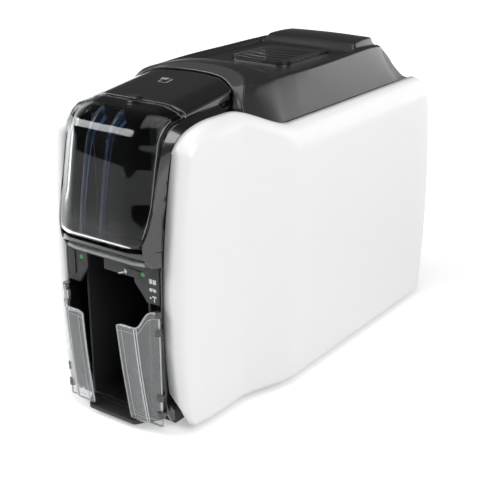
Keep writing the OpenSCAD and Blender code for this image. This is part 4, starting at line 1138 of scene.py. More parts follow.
@dataclass
class HopperCover:
    """The hinged cover over the cards: smoked window with guide fins and painted edge highlights, black hood and its
    mark.

    Attributes:
        wall: Thickness of the window.
        highlight_radius: Radius of the dim lines that paint highlights on the window's edges.
        fins_at: Each guide fin's name and place.
        fin_half: Half a fin's thickness.
        fin_foot: Height at which a fin's growth is counted from.
        fin_lean: Lean of the window at a fin's two ends, in radians.
        fin_depth, fin_growth: A fin's depth on the face and what it gains on the brow.
        fin_seat: Distance of the fins' fronts inside the window's outer face.
        hood_wall: Thickness of the hood.
        hood_skirt: Depth of its sides.
        hood_gap: Gap between window and hood.
        hood_sweep: How far its rear edge runs forward down the sides.
        sweep_depth: Depth of the sides at which that begins, and over which it is reached.
        hood_rows: Points along the hood.
        mark_at: Middle of the pictogram on the hood.
        mark_line: Width of its lines.
        mark_height: Its thickness.
        mark_sink: How deep it is set in the hood.
    """
    wall: float = 2.4
    highlight_radius: float = 0.3
    fins_at: tuple = (("left", -14.0), ("right", 4.0))
    fin_half: float = 0.7
    fin_foot: float = 147.5
    fin_lean: tuple[float, float] = (0.1, math.radians(76))
    fin_depth: float = 4.0
    fin_growth: float = 5.5
    fin_seat: float = 2.41
    hood_wall: float = 2.2
    hood_skirt: float = 11.0
    hood_gap: float = 0.4
    hood_sweep: float = 2.5
    sweep_depth: tuple[float, float] = (5.0, 2.0)
    hood_rows: int = 40
    mark_at: tuple[float, float] = (-5.5, -98.0)
    mark_line: float = 0.55
    mark_height: float = 0.16
    mark_sink: float = 0.12

    def window(self) -> None:
        """The one-piece window with its curled lower edge and rounded brow, and dim lines along its rear edge and
        folds as painted highlights.
        """
        s = COVER.stations()
        args = (s["drop"], s["side"], s["half"], s["facet"])
        outer = COVER.place(s, COVER.section(*args, 0.0))
        inner = COVER.place(s, COVER.section(*args, self.wall))
        dress(shell("window_surface", outer, inner), Look.SMOKED_WINDOW, "hopper_cover",
              "smoked_window", ["hopper_window"])
        # Dim tubes along the rear edge and the two folds paint the highlights of those edges.
        middle = 0.5*(outer + inner)
        for name, line in (("rear", middle[-2, 3:-3]), ("right_fold", middle[8:-4, 4]),
                           ("left_fold", middle[8:-4, -5])):
            dress(tube(f"window_{name}_edge", line, self.highlight_radius, 6), Look.DIM_MARK_AND_HIGHLIGHT,
                  "hopper_cover", "smoked_window")

    def fins(self) -> None:
        """Two clear guide fins behind the window, their fronts on its inner face."""
        s = COVER.stations()
        use = (s["lean"] > self.fin_lean[0]) & (s["lean"] < self.fin_lean[1])
        y, z, lean = s["y"][use], s["z"][use], s["lean"][use]
        start = float(COVER.angle(COVER.end))
        rank = np.where(z < COVER.end, 5 + 5*(z - self.fin_foot)/(COVER.end - self.fin_foot),
                        10 + 6*(lean - start)/(math.radians(COVER.end_angle) - start))
        deep = self.fin_depth + self.fin_growth*ramp((rank - 7)/6)**2
        depths = (np.full_like(y, self.fin_seat), self.wall + 0.5*deep, self.wall + deep)
        for name, x in self.fins_at:
            faces = [np.stack([xyz(side, y + d*np.cos(lean), z - d*np.sin(lean)) for d in depths],
                              axis=1) for side in (x - self.fin_half, x + self.fin_half)]
            dress(shell(f"{name}_fin", *faces), Look.BLUE_TINT, "hopper_cover", "smoked_window")

    def hood(self) -> None:
        """The black hood behind the window, its rear edge bowed to clear the lid's arch."""
        one = np.ones(1)
        along = np.linspace(0, 1, self.hood_rows)[:, None]
        a = math.radians(COVER.end_angle)
        start, length = self.sweep_depth
        grids = []
        for t in (0.0, self.hood_wall):
            line = COVER.section(COVER.corner_drop[2]*one, self.hood_skirt*one, COVER.half*one,
                                 (COVER.facet + COVER.spread)*one, t, 8)[0]
            k = np.linspace(0, len(line) - 1, 4*len(line))
            x, deep = (np.interp(k, np.arange(len(line)), line[:, c]) for c in (0, 1))
            end = COVER.rear_edge(x) - self.hood_sweep*smooth((deep - start)/length)
            y = mix(COVER.window_rear + self.hood_gap, end, along)
            grids.append(xyz(x, y + deep*math.cos(a), COVER.top(y) - deep*math.sin(a)))
        dress(shell("hood_surface", *grids), Look.BLACK_GLOSS, "hopper_cover", "black_shell",
              ["hopper_hood"])

    def marks(self) -> None:
        """Card-and-arrow pictogram on the hood."""
        def on_hood(p: Array) -> Array:
            """Put (x, y, height) points on the hood's top."""
            x, y, height = p[..., 0], p[..., 1], p[..., 2]
            return xyz(x, y, COVER.top(y) + height - self.mark_sink)

        w = self.mark_line
        marks = {
            "0": box(-4.2, -3.2, 4.2, -3.2 + w), "1": box(3.2, -3.2, 4.2, 5.2),
            "2": box(-4.2, -3.2, -3.2, 2.0), "3": box(-0.6, 5.2 - w, 4.2, 5.2),
            "arrow": np.array([(-6.4, 3.0), (-2.4, 3.0), (-2.4, 1.6), (0.4, 4.6), (-2.4, 7.4),
                               (-2.4, 6.0), (-6.4, 6.0)])}
        for name, outline in marks.items():
            obj = slab(f"hood_mark_{name}", outline + self.mark_at, self.mark_height, on_hood)
            dress(obj, Look.DIM_MARK_AND_HIGHLIGHT, "hopper_cover", "light_pipe")

    def build(self) -> None:
        """All parts of the cover."""
        self.window()
        self.fins()
        self.hood()
        self.marks()


@dataclass
class FrontBezel:
    """The glossy pillars beside the window, and the small marks and lines of the front.

    Attributes:
        pillar: Inner edge (x, y, z) and outer edge (x, y, z) of a pillar, from its foot upwards.
        pillar_crown: How far a pillar's face bulges.
        pillar_wall: Thickness of its face.
        mark_depth: Distance of the fascia's pictograms behind the front face.
        mark_height: Their thickness.
        button: Middle (x, z) of the power button.
        button_depth: Distance of its groove line behind the front face.
        button_round: Radius of its rounded ends.
        button_straight: Half the length between the centres of its ends.
        sign: Height and radius of the power sign.
        sign_depth: Distance of the sign behind the front face.
        stem: Heights of the sign's stem.
        line: Radius of the groove and sign lines.
    """
    pillar: tuple = (
        (38.0, -172.5, 129.6, 44.9, -164.4, 129.6), (38.2, -176.8, 138.0, 44.9, -164.0, 138.0),
        (38.3, -177.8, 146.0, 44.9, -163.6, 146.0), (39.6, -176.4, 151.0, 44.9, -163.0, 151.0),
        (41.3, -173.4, 160.0, 45.2, -161.5, 160.0), (42.1, -170.6, 170.0, 46.0, -160.4, 170.0),
        (42.1, -168.2, 180.0, 46.3, -159.4, 180.0), (42.1, -166.1, 190.0, 46.6, -158.2, 190.0),
        (42.1, -163.8, 200.0, 47.0, -156.4, 200.0), (42.3, -160.6, 210.0, 47.6, -153.4, 209.0),
        (42.6, -157.6, 216.0, 48.4, -149.5, 214.5), (43.1, -153.5, 221.0, 49.5, -142.0, 219.0),
        (43.45, -146.0, 224.6, 50.3, -132.0, 221.6), (43.45, -136.0, 226.4, 50.6, -122.0, 222.6),
        (43.45, -118.0, 227.6, 50.6, -110.0, 223.0), (43.45, -98.0, 228.0, 50.9, -96.0, 222.0))
    pillar_crown: float = 0.12
    pillar_wall: float = 1.2
    mark_depth: float = 16.04
    mark_height: float = 0.12
    button: tuple[float, float] = (-38.8, 116.0)
    button_depth: float = 15.28
    button_round: float = 3.72
    button_straight: float = 6.8
    sign: tuple[float, float] = (117.0, 1.6)
    sign_depth: float = 15.38
    stem: tuple[float, float] = (116.8, 119.2)
    line: float = 0.16

    def pillars(self) -> None:
        """Fine front faces over the two pillars, crowned by sin(pi u) across their width."""
        rows = np.array(self.pillar)
        knots = path_length(rows[:, :3])
        edges = soft_rows(np.linspace(0, knots[-1], 90), knots, rows)
        a, b = edges[:, :3], edges[:, 3:]
        out = np.cross(b - a, np.gradient(0.5*(a + b), axis=0))
        out /= np.linalg.norm(out, axis=1, keepdims=True)
        u = np.linspace(0, 1, 9)[None, :, None]
        flat = mix(a[:, None], b[:, None], u)
        outer = flat + out[:, None]*self.pillar_crown*np.sin(np.pi*u)
        inner = flat - out[:, None]*self.pillar_wall
        for side, sign in SIDES:
            obj = shell(f"{side}_pillar_face", mirrored(outer, sign), mirrored(inner, sign))
            dress(obj, Look.BLACK_GLOSS, "chassis", "black_shell")

    def fascia_marks(self) -> None:
        """Small pictograms on the fascia: a card, a ribbon, a service sign and an arrow."""
        def on_face(p: Array) -> Array:
            """Put (x, z, height) points on the fascia's front."""
            return xyz(p[..., 0], BODY.front + self.mark_depth - p[..., 2], p[..., 1])

        marks = {
            "card_left": box(34.6, 116.0, 37.2, 119.4),
            "card_right": box(37.8, 116.0, 40.6, 119.4),
            "ribbon_0": oval(35.9, 111.4, 1.5, 1.3),
            "ribbon_1": oval(39.2, 111.4, 1.5, 1.3),
            "ribbon_link": box(35.9, 112.2, 39.2, 112.7),
            "service_handle": box(38.3, 102.6, 39.3, 106.6),
            "service_head": box(36.9, 106.0, 40.7, 107.2),
            "service_dot": oval(35.4, 105.2, 0.8, 0.8),
            "exit": np.array([(6.0, 117.2), (12.4, 119.6), (12.0, 121.8), (14.6, 120.2),
                              (13.6, 117.6), (12.8, 118.8), (7.0, 116.4)])}
        for name, outline in marks.items():
            dress(slab(f"mark_{name}", outline, self.mark_height, on_face), Look.PALE_MARK,
                  "chassis", "light_pipe")

    def button_ring(self) -> None:
        """Fine groove line round the oval power button, with its power sign."""
        x, z = self.button
        groove, front = BODY.front + self.button_depth, BODY.front + self.sign_depth
        sign_z, r = self.sign
        t, a = full_turn(48), arc(120, 420, 25)
        ring = xyz(x + self.button_round*np.cos(t), groove,
                   z + self.button_straight*np.sign(np.sin(t)) + self.button_round*np.sin(t))
        sign = xyz(x + r*np.cos(a), front, sign_z + r*np.sin(a))
        stem = xyz(x, front, np.array(self.stem))
        for name, path, look in (("button_edge", ring, Look.BLACK_GLOSS),
                                 ("power_sign", sign, Look.GREY_TRIM),
                                 ("power_stem", stem, Look.GREY_TRIM)):
            dress(tube(name, path, self.line, 6, closed=name == "button_edge"), look,
                  "power_button_body", "dark_moulding")

    def build(self) -> None:
        """All front parts."""
        self.pillars()
        self.fascia_marks()
        self.button_ring()


@dataclass
class OutputWings:
    """Two clear hinged wings that hold the finished cards.

    Attributes:
        path: Outer face in plan as (x, distance behind the front, share of the lean).
        inside: Inner face, its distance in shares of the wall behind the outer face.
        height: Height of the upper edge at the front.
        back_height: Height of the upper edge at the hinge.
        rise: Place at which that edge begins to rise, and length of the rise.
        bottom: Height of the foot.
        wall: Thickness.
        splay, lean, lean_growth: Per millimetre below the top, how far the front moves outwards
            and how far it moves back, and what the latter gains with the square.
        foot_rise, foot_share: How much the foot rises towards the front, and the share of the
            lean from which it does.
        corner_dip, corner_reach: Depth and reach of the dip of the inner top corner.
        plan_points, rows: Points along the plan and up the wing.
        highlight_inset: Share of the way to the wing's middle by which the painted highlight lines lie inwards.
    """
    path: tuple = ((16.4, 0, 1), (22, 0, 1), (28.5, 0, 1), (31.4, 0.4, 1), (33.8, 1.8, 0.95),
                   (37.4, 5, 0.7), (40.8, 8.2, 0.4), (43.9, 11.4, 0.12), (45.2, 14, 0))
    inside: tuple = ((16.4, 1, 1), (22, 1, 1), (28.1, 1, 1), (30.4, 1.2, 1), (32.4, 2.4, 0.95),
                     (35.8, 5.4, 0.7), (39.2, 8.7, 0.4), (42.1, 11.8, 0.12), (43.2, 14, 0))
    height: float = 87.0
    back_height: float = 98.0
    rise: tuple[float, float] = (33.0, 7.0)
    bottom: float = 7.5
    wall: float = 2.2
    splay: float = 0.025
    lean: float = 0.07
    lean_growth: float = 0.0006
    foot_rise: float = 1.5
    foot_share: float = 0.3
    corner_dip: float = 1.5
    corner_reach: float = 4.0
    plan_points: int = 65
    rows: int = 40
    highlight_inset: float = 0.012

    def top(self, x: Array) -> Array:
        """Height of the upper edge, rising from the front corner to the hinge."""
        start, length = self.rise
        return mix(self.height, self.back_height, smooth((x - start)/length))

    def points(self, plan: Array, t: Array) -> Array:
        """Wing points: the plan leans back and splays outwards towards the bottom.

        Args:
            plan: x, distance behind the front and share of the lean, shape (N, 3).
            t: Share of the height, shape (M,).

        Returns:
            Points, shape (N, M, 3).
        """
        x, d, share = plan[:, 0, None], plan[:, 1, None], plan[:, 2, None]
        low = self.bottom + np.maximum(0, self.foot_rise*(share - self.foot_share))
        dip = np.maximum(0, 1 - np.abs(x - self.path[0][0])/self.corner_reach)
        z = mix(low, self.top(x) - self.corner_dip*dip, t[None])
        down = np.maximum(0, self.height - z)
        back = share*(self.lean*down + self.lean_growth*down*down)
        return xyz(x + self.splay*share*down, BODY.front + d + back, z)

    def plan(self, rows: tuple, inner: bool) -> Array:
        """A plan line with rounded corners, as many points for both faces.

        Args:
            rows: Knots of the line.
            inner: Whether its distances are in shares of the wall behind the outer face.

        Returns:
            x, distance and share of the lean, shape (plan_points, 3).
        """
        table = np.array(rows, float)
        if inner:
            outer = np.array(self.path, float)
            table[:, 1] = outer[:, 1] + (table[:, 1] - outer[:, 1])*self.wall
        knots = np.arange(len(table))
        return soft_rows(np.linspace(0, knots[-1], self.plan_points), knots, table)

    def build(self) -> None:
        """Both wings, each with pale lines along its edges and folds that paint their highlights.

        Each painted highlight line follows one row of the wall's points, counted from the free edge and from the
        foot. The folds are where the plan turns back, at its points 26 and 31.
        """
        t = np.linspace(0, 1, self.rows)
        outer = self.points(self.plan(self.path, False), t)
        inner = self.points(self.plan(self.inside, True), t)
        middle = 0.5*(outer + inner)
        # Pale tubes that paint the highlights of the clear wing's edges and folds, outer and inner.
        painted_highlights = {"top": (middle[:, -1], 0.62), "free": (middle[0], 0.62),
                 "foot": (middle[:, 0], 0.62), "corner": (outer[26], 0.45),
                 "fold": (outer[31], 0.4), "back": (middle[-2], 0.5),
                 "inner_top": (middle[3:-4, -3], 0.3), "inner_free": (middle[6, 1:-2], 0.35),
                 "inner_foot": (middle[3:-4, 2], 0.3)}
        centre = middle[self.plan_points//2, self.rows//2]
        for side, sign in SIDES:
            body = f"{side}_wing_body"
            obj = shell(f"{side}_wing_surface", mirrored(outer, sign), mirrored(inner, sign))
            dress(obj, Look.CLEAR_WING, body, "clear_wing", [f"{side}_wing"])
            for name, (line, radius) in painted_highlights.items():
                inset = line + (centre - line)*self.highlight_inset
                obj = tube(f"{side}_wing_{name}_highlight_line", mirrored(inset, sign), radius, 8)
                dress(obj, Look.WING_EDGE, body, "clear_wing")


@dataclass
class TopLid:
    """The black lid: arch band, crest, hollow with the release grip, rear block and flanks.

    Each table gives a size at a depth. Heights count from the lid's height.

    Attributes:
        crest_front: Depth of the crest's front edge in the middle.
        back: Depth of the lid's rear end.
        height: Height of the lid.
        wall: Its thickness.
        foot: Half width at which the front edge's sweep ends.
        front_bow, front_sweep: How far the front edge runs forward, with the square of x over
            the half width given and with the sixth power of x over the foot.
        front_reach: Length over which the rows follow the front edge.
        crest_z: Height of the middle.
        edge_x: Half width of the shoulder.
        edge_z: Height of the shoulder.
        flank_bend: Bend of the flank; 1 is straight, less bulges.
        hollow: Share of the hollow's flat floor.
        block: Share of the rear block's flat top.
        crown_power: How flat the crown is in the middle.
        hollow_step, block_step: Place and width of the step at the rim of the hollow and of the
            block, in shares of the shoulder's half width.
        block_crown: Share of the block's fall that is a soft crown.
        lip: Height of the rounded lip on the rim of hollow and block.
        lip_band: Place and width of the lip, in the same shares.
        grip_play: Gap round the release grip.
        grip_corner: Corner radius of its opening.
        grip_cut: Height of the cut for the opening, and how far it starts below the lid's height.
        arch_front: Front edge (x, z) of the arch.
        arch_wall: Thickness of the arch.
        arch_gap: Gap to the hood in the middle, and what it loses towards the feet.
        arch_foot: Least width of the arch.
        arch_seat: Gap between arch and lid.
        arch_sag: How far the arch hollows between its edges.
        arch_turn: Share of the arch's length at which its wall begins to turn from lying flat
            to standing upright, and the share over which it turns.
        arch_grid: Points along half the arch and across it.
    """
    crest_front: float = -54.0
    back: float = 145.0
    height: float = 245.0
    wall: float = 2.6
    foot: float = 53.0
    front_bow: tuple[float, float] = (8.0, 42.0)
    front_sweep: float = 18.7
    front_reach: float = 30.0
    crest_z: tuple = ((-70, -0.25), (-50, -0.25), (-38, -0.8), (-31, -6), (-27, -9.2), (0, -9.5),
                      (74, -9.5), (82, -8.8), (86, -3.5), (89, -1.6), (104, -1), (118, -1.4),
                      (131, -5), (138, -13), (145, -34))
    edge_x: tuple = ((-54, 44.5), (-45, 48.6), (-34, 52.3), (-20, 54.6), (2, 55.5), (60, 54),
                     (100, 52), (118, 50), (131, 44.5), (145, 52))
    edge_z: tuple = ((-54, -5.5), (-36, -7), (20, -7), (88, -6.5), (118, -8.5), (131, -12.5),
                     (138, -21), (145, -35.5))
    flank_bend: tuple = ((-54, 0.5), (-30, 0.85), (5, 1.25))
    hollow: tuple = ((-36, 0), (-29, 1), (80, 1), (86, 0))
    block: tuple = ((78, 0), (86, 1), (120, 1), (134, 0))
    crown_power: float = 2.6
    hollow_step: tuple[float, float] = (0.83, 0.06)
    block_step: tuple[float, float] = (0.79, 0.07)
    block_crown: float = 0.15
    lip: float = 0.9
    lip_band: tuple[float, float] = (0.87, 0.13)
    grip_play: float = 0.6
    grip_corner: float = 9.0
    grip_cut: tuple[float, float] = (20.0, 22.0)
    arch_front: tuple = ((0, 243), (13.5, 242.9), (26, 242.5), (33, 241.1), (36.6, 239.6),
                         (40, 238.1), (42.4, 236.4), (44.3, 233), (45.4, 229), (47, 224.6),
                         (49, 220.6))
    arch_wall: float = 1.6
    arch_gap: tuple[float, float] = (2.1, 0.7)
    arch_foot: float = 0.9
    arch_seat: float = 0.3
    arch_sag: float = 0.35
    arch_turn: tuple[float, float] = (0.45, 0.4)
    arch_grid: tuple[int, int] = (90, 16)

    def profile(self, y: Array, foot_y: Array, t: float) -> tuple[Array, Array]:
        """Right half of the lid's section at each depth.

        From the middle to the shoulder the height blends from crest to shoulder: a soft crown, or
        in the hollow a level floor with a short rise, or on the block a flat top with a step
        down. The rim carries a rounded lip, sin^2 across its width. The flank falls to the panel.

        Args:
            y: Depths, shape (N, 1).
            foot_y: Depths of the flank's foot, same shape.
            t: Distance inside the outer face.

        Returns:
            x and z of the section, each shape (N, M).
        """
        ex = soft_lookup(y, self.edge_x) - 0.9*t
        crest = self.height + soft_lookup(y, self.crest_z)
        edge = self.height + soft_lookup(y, self.edge_z)
        f = np.concatenate([np.linspace(0, 0.78, 12), np.linspace(0.8, 1, 16)])[None]
        sunk, raised = soft_lookup(y, self.hollow), soft_lookup(y, self.block)
        down, up, band = (ramp((f - place)/width) for place, width in
                          (self.hollow_step, self.block_step, self.lip_band))
        top = self.block_crown*f**2 + (1 - self.block_crown)*smooth(up)
        g = mix(mix(f**self.crown_power, top, raised), smooth(down), sunk)
        lip = self.lip*np.maximum(sunk, raised)*np.sin(np.pi*band)**2
        s = (np.linspace(0, 1, 26)[1:]**1.4)[None]
        flank = mix(ex, BODY.rim(foot_y) - t, s**soft_lookup(y, self.flank_bend))
        x = np.concatenate([ex*f, flank], axis=1)
        z = np.concatenate([mix(crest, edge, g) + lip - t,
                            mix(edge - t, BODY.top_line(foot_y) - 1, s)], axis=1)
        return self.round_shoulder(x, z, f.shape[1] - 1)

    @staticmethod
    def round_shoulder(x: Array, z: Array, at: int, reach: int = 5) -> tuple[Array, Array]:
        """Blend the sections round their shoulder: a mean of neighbours (1, 2, 1)/4, twice.

        Args:
            x: Half widths, shape (N, M), changed in place.
            z: Heights, same shape, changed in place.
            at: Index of the shoulder.
            reach: Points on each side of it.

        Returns:
            x and z.
        """
        for _ in range(2):
            for a in (x, z):
                inner = a[:, at - reach:at + reach + 1]
                mean = (inner[:, :-2] + inner[:, 1:-1]*2 + inner[:, 2:])/4
                a[:, at - reach + 1:at + reach] = mean
        return x, z

    def crest_edge(self, x: Array) -> Array:
        """Depth of the lid's bowed front edge."""
        u = np.minimum(np.abs(x), self.foot)
        bow, half = self.front_bow
        return self.crest_front - bow*(u/half)**2 - self.front_sweep*(u/self.foot)**6

    def grid(self, t: float) -> Array:
        """Points of one face of the lid, from right foot to left foot."""
        marks, counts = (0.0, 32.0, 130.0, self.back - self.crest_front), (34, 50, 46)
        spans = [np.linspace(a, b, n) for a, b, n in zip(marks, marks[1:], counts)]
        d = np.concatenate([spans[0][:-1], spans[1][:-1], spans[2]])[:, None]
        y = self.crest_front + d
        fade = np.maximum(0, 1 - d/self.front_reach)
        foot_y = y + fade*(self.crest_edge(np.array(self.foot)) - self.crest_front)
        x, z = self.profile(y, foot_y, t)
        right = xyz(x, y + fade*(self.crest_edge(x) - self.crest_front), z)[:, ::-1]
        return np.concatenate([right, mirrored(right[:, ::-1])[:, 1:]], axis=1)

    def moulding(self) -> None:
        """The lid's moulding, with a round-cornered opening for the release grip."""
        lid = shell("lid_surface", self.grid(0.0), self.grid(self.wall))
        low, high = frame_box("lid_release")
        half, middle = (high - low)[:2]/2 + self.grip_play, (high + low)[:2]/2
        t = full_turn(64)
        c = np.column_stack([np.cos(t), np.sin(t)])
        ring = np.sign(c)*(half - self.grip_corner) + c*self.grip_corner + middle
        depth, below = self.grip_cut
        cutter = slab("grip_opening", ring, depth, lambda p: p + [0, 0, self.height - below])
        dress(cut(lid, cutter), Look.LID_BLACK, "lid", "black_shell", ["top_lid"])

    def arch(self) -> None:
        """The satin grey band between hood and crest, lofted from the hood's line to the lid's.

        Its rear line is the lid's first row. Points at equal shares of both lines' lengths are
        joined. The gap to the hood narrows over the last three knots of the front line.
        """
        along, across = self.arch_grid
        edge = np.full((1, 1), self.crest_front)
        foot = np.full((1, 1), float(self.crest_edge(np.array(self.foot))))
        line = np.stack([v[0] for v in self.profile(edge, foot, 0.15)], axis=1)
        k = np.linspace(0, len(line) - 1, along)
        rear = np.stack([np.interp(k, np.arange(len(line)), column) for column in line.T], axis=1)
        length, table = path_length(rear), np.array(self.arch_front)
        knots = path_length(table)
        at = length/length[-1]*knots[-1]
        fore = soft_rows(at, knots, table)
        u = np.linspace(0, 1, across)[:, None]
        start, span = self.arch_turn
        side = smooth((at[None]/knots[-1] - start)/span)
        gap, less = self.arch_gap
        gap = gap - less*smooth((np.interp(at, knots, np.arange(len(knots))) - 7)/3)
        x = mix(fore[None, :, 0], rear[None, :, 0], u)
        z = mix(fore[None, :, 1], rear[None, :, 1], u) - self.arch_sag*np.sin(np.pi*u)
        y1 = self.crest_edge(rear[None, :, 0]) - self.arch_seat
        y = mix(np.minimum(COVER.rear_edge(x) + gap[None], y1 - self.arch_foot), y1, u)
        grids = []
        for t in (0.0, self.arch_wall):
            right = xyz(x - t*side, y, z - t*(1 - side))
            grids.append(np.concatenate([right[:, ::-1], mirrored(right)[:, 1:]], axis=1))
        dress(shell("arch_surface", *grids), Look.GREY_TRIM, "lid", "grey_trim", ["lid_front_trim"])

    def build(self) -> None:
        """All parts of the lid."""
        self.moulding()
        self.arch()


@dataclass
class Mechanism:
    """Finishes for the CAD nodes that stay as they are.

    Attributes:
        looks: The nodes that each finish is for.
        edge: Rounding of their sharp edges in millimetres.
        sharp: Words in the names of the nodes whose edges stay sharp.
    """
    looks: dict = field(default_factory=lambda: {
        Look.DARK_MOULDING: ["rear_panel", "base_tray", "control_fascia", "power_button",
                             "lid_latch", "head_carrier"],
        Look.INNER_BLACK_AND_SHADE: ["output_bin", "card_hopper", "card_deck"],
        Look.BLACK_GLOSS: ["front_bezel", "hopper_catch"],
        Look.GRIP_BLACK: ["lid_release"],
        Look.FOOT_RUBBER: ["rubber_feet"],
        Look.LIGHT_PIPE: ["light_bar"],
        Look.GREEN_LIGHT: ["status_lights"],
        Look.ROLLER_RUBBER: ["pick_roller", "feed_roller", "cleaning_roller", "platen_roller",
                             "rear_roller"],
        Look.GEAR_ACETAL: ["pick_gear", "feed_gear", "cleaning_gear", "platen_gear", "rear_gear",
                           "idler_gear_1", "idler_gear_2", "idler_gear_3", "idler_gear_4",
                           "ribbon_gear"],
        Look.PLATED_STEEL: ["left_frame_plate", "right_frame_plate", "usb_socket"],
        Look.TURNED_STEEL: ["frame_crossbars", "hood_pins", "wing_pins", "lid_pins",
                            "idler_axles", "case_screws"],
        Look.BRASS: ["drive_pinion", "ribbon_pinion"],
        Look.MOTOR_CAN: ["drive_motor", "ribbon_motor"],
        Look.RIBBON_FILM: ["supply_spool", "takeup_spool"],
        Look.CRADLE_BLUE: ["ribbon_cradle"],
        Look.CIRCUIT_GREEN: ["main_board"],
        Look.SOCKET_BLACK: ["power_inlet", "network_socket"],
        Look.HEAT_SINK: ["print_head"]})
    edge: float = 0.25
    sharp: tuple[str, ...] = ("gear", "pinion", "screws", "spool")

    def build(self) -> None:
        """Dress every remaining node, with rounded edges where they show."""
        for look, names in self.looks.items():
            for name in names:
                width = 0.0 if any(word in name for word in self.sharp) else self.edge
                dress(finish_node(frame["nodes"][name], width), look)


# ---------------------------------------------------------------------------
# Studio and camera
# ---------------------------------------------------------------------------

def facing(azimuth: float, elevation: float) -> tuple[Array, Array]:
    """The direction from the printer towards a place round it, and the level one to its right.

    Args:
        azimuth: Degrees, 0 in front of the printer and 90 on its right.
        elevation: Degrees above the table.

    Returns:
        Two unit directions.
    """
    a, e = math.radians(azimuth), math.radians(elevation)
    back = np.array([math.sin(a)*math.cos(e), -math.cos(a)*math.cos(e), math.sin(e)])
    return back, np.array([math.cos(a), math.sin(a), 0.0])


def put(name: str, data: bpy.types.ID, right: Array, back: Array, place: Array) -> bpy.types.Object:
    """A light or camera in place: x to its right, z backwards."""
    obj = bpy.data.objects.new(name, data)
    bpy.context.scene.collection.objects.link(obj)
    axes = np.column_stack([right, np.cross(back, right), back, place])
    obj.matrix_world = Matrix(axes.tolist() + [[0, 0, 0, 1]])
    return obj


@dataclass(frozen=True)
class SoftLight:
    """A rectangular studio light.

    Attributes:
        name: Object name.
        azimuth: Direction from the printer, degrees, 0 in front and 90 to the right.
        elevation: Degrees above the table.
        distance: Metres from the middle of the printer.
        size: Width and height in metres.
        power: Watts.
        roll: Degrees by which its right end is lifted.
    """
    name: str
    azimuth: float
    elevation: float
    distance: float
    size: tuple[float, float]
    power: float
    roll: float = 0.0

    def build(self, aim: Array) -> None:
        """Place the light round a point and aim it there."""
        data = bpy.data.lights.new(self.name, "AREA")
        data.shape = "RECTANGLE"
        data.size, data.size_y = self.size
        data.energy = self.power
        back, level = facing(self.azimuth, self.elevation)
        roll = math.radians(self.roll)
        right = level*math.cos(roll) + np.cross(back, level)*math.sin(roll)
        put(self.name, data, right, back, back*self.distance + aim)


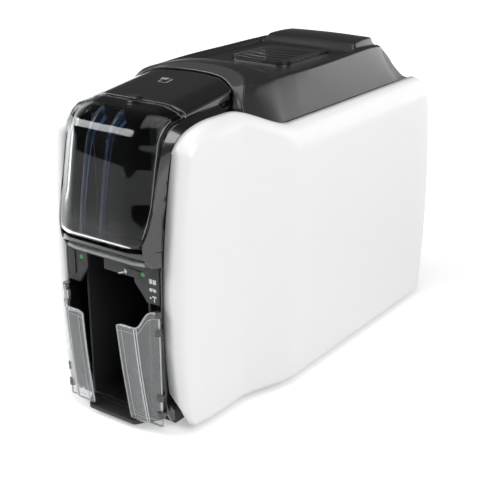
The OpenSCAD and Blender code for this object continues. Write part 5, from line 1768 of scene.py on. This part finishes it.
@dataclass
class Studio:
    """A pale floor, soft lights and a dim white surround.

    Attributes:
        ambient: Strength of the surround.
        glow: Glow of the floor under the printer and far away, as seen by the camera, in gloss
            and through clear pieces.
        glow_span: Distances in metres between which the glow rises.
        cove: Radius of the level floor, and of the cove at its edge, in metres.
        floor_drop: How far the floor lies under the feet, in metres.
        aim: The point that the lights face, in metres.
        lights: The lights.
    """
    ambient: float = 0.08
    glow: tuple[float, float] = (0.42, 0.95)
    glow_span: tuple[float, float] = (0.3, 1.7)
    cove: tuple[float, float] = (11.0, 0.7)
    floor_drop: float = 0.0004
    aim: tuple[float, float, float] = (0.0, 0.0, 0.12)
    lights: tuple[SoftLight, ...] = (
        SoftLight("front_left_box", -56, 30, 1.5, (1.3, 0.38), 15.0, 26.0),
        SoftLight("left_box", -100, 25, 1.8, (1.0, 1.0), 2.0),
        SoftLight("top_box", 20, 82, 1.4, (1.0, 1.2), 7.5),
        SoftLight("right_front_box", 66, 34, 1.8, (1.2, 1.0), 19.0),
        SoftLight("right_rear_box", 158, 14, 1.6, (1.2, 0.8), 6.4))

    def surround(self) -> None:
        """A dim, even white surround, the softest of the lights."""
        world = bpy.data.worlds.new("studio")
        bpy.context.scene.world = world
        world.use_nodes = True
        shader = world.node_tree.nodes["Background"]
        shader.inputs["Color"].default_value = (1.0, 1.0, 1.0, 1.0)
        shader.inputs["Strength"].default_value = self.ambient

    def floor(self) -> None:
        """A wide pale floor that turns up into a low quarter-round cove."""
        reach, rise = self.cove
        sides, rings = 64, 8
        turn = arc(-90, 0, 9)[1:]
        r = np.concatenate([np.linspace(0.0, reach, rings), reach + rise*np.cos(turn)])[:, None]
        z = np.concatenate([np.zeros(rings), rise*(1 + np.sin(turn))])[:, None] - self.floor_drop
        a = full_turn(sides)
        faces = grid_faces(len(r), sides, close_v=True)
        obj = weld(make_object("studio_floor", xyz(r*np.cos(a), r*np.sin(a), z), faces, 1.0))
        if obj.data.polygons[0].normal.z < 0:
            obj.data.flip_normals()
        dress(obj, Look.STUDIO_FLOOR)
        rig.stage(obj)
        self.whiten(obj.data.materials[0].node_tree)

    def whiten(self, tree: bpy.types.NodeTree) -> None:
        """Let the floor glow white for camera, glossy and transmission rays.

        The glow rises with the distance from the printer by 3t^2 - 2t^3, which leaves the
        shadow at its foot.

        Args:
            tree: The floor material's nodes.
        """
        path = tree.nodes.new("ShaderNodeLightPath").outputs
        seen = math_node(tree, "ADD", path["Is Camera Ray"], path["Is Glossy Ray"])
        seen = math_node(tree, "ADD", seen, path["Is Transmission Ray"])
        seen = math_node(tree, "MINIMUM", seen, 1.0)
        away = tree.nodes.new("ShaderNodeVectorMath")
        away.operation = "LENGTH"
        place = tree.nodes.new("ShaderNodeTexCoord").outputs["Object"]
        tree.links.new(place, away.inputs[0])
        fade = tree.nodes.new("ShaderNodeMapRange")
        fade.interpolation_type = "SMOOTHSTEP"
        for label, value in zip(("From Min", "From Max", "To Min", "To Max"),
                                self.glow_span + self.glow):
            fade.inputs[label].default_value = value
        tree.links.new(away.outputs["Value"], fade.inputs["Value"])
        shader = tree.nodes["Principled BSDF"]
        shader.inputs["Emission Color"].default_value = (1.0, 1.0, 1.0, 1.0)
        strength = math_node(tree, "MULTIPLY", seen, fade.outputs[0])
        tree.links.new(strength, shader.inputs["Emission Strength"])

    def build(self) -> None:
        """Set up view, surround, floor and lights."""
        bpy.context.scene.view_settings.view_transform = "Standard"
        self.surround()
        self.floor()
        for light in self.lights:
            light.build(np.array(self.aim))


@dataclass(frozen=True)
class CameraRig:
    """The camera: where it stands, how it is turned and its lens.

    Attributes:
        azimuth: Side from which it looks, degrees, 0 in front and 90 from the right.
        elevation: Degrees by which it looks down.
        place: Its place in metres.
        focal_share: Focal length in sensor widths.
        sensor: Sensor width in millimetres.
        far: Distance up to which it sees, in metres.
    """
    azimuth: float = 35.43489515
    elevation: float = 21.50107517
    place: tuple[float, float, float] = (0.472675, -0.664636, 0.400005)
    focal_share: float = 2.0935572
    sensor: float = 36.0
    far: float = 50.0

    def build(self) -> None:
        """Place the camera and make it the scene's."""
        data = bpy.data.cameras.new("camera")
        data.sensor_width, data.clip_end = self.sensor, self.far
        data.lens = self.focal_share*self.sensor
        back, right = facing(self.azimuth, self.elevation)
        bpy.context.scene.camera = put("camera", data, right, back, np.array(self.place))


def write_size(label: str) -> None:
    """Note the overall bounds under a label, as plain lists."""
    path = Path("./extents.json")
    sizes = json.loads(path.read_text()) if label != "before" and path.exists() else {}
    sizes[label] = [[round(float(v), 6) for v in row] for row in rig.bounds()]
    path.write_text(json.dumps(sizes))


def main() -> None:
    """Build the scene piece by piece."""
    logging.basicConfig(level=logging.INFO, format="%(message)s")
    write_size("before")
    for piece in (SidePanels(), HopperCover(), FrontBezel(), OutputWings(), TopLid(),
                  Mechanism(), Studio(), CameraRig()):
        log.info("building %s", type(piece).__name__)
        piece.build()
    write_size("after")


if __name__ == "__main__":
    main()
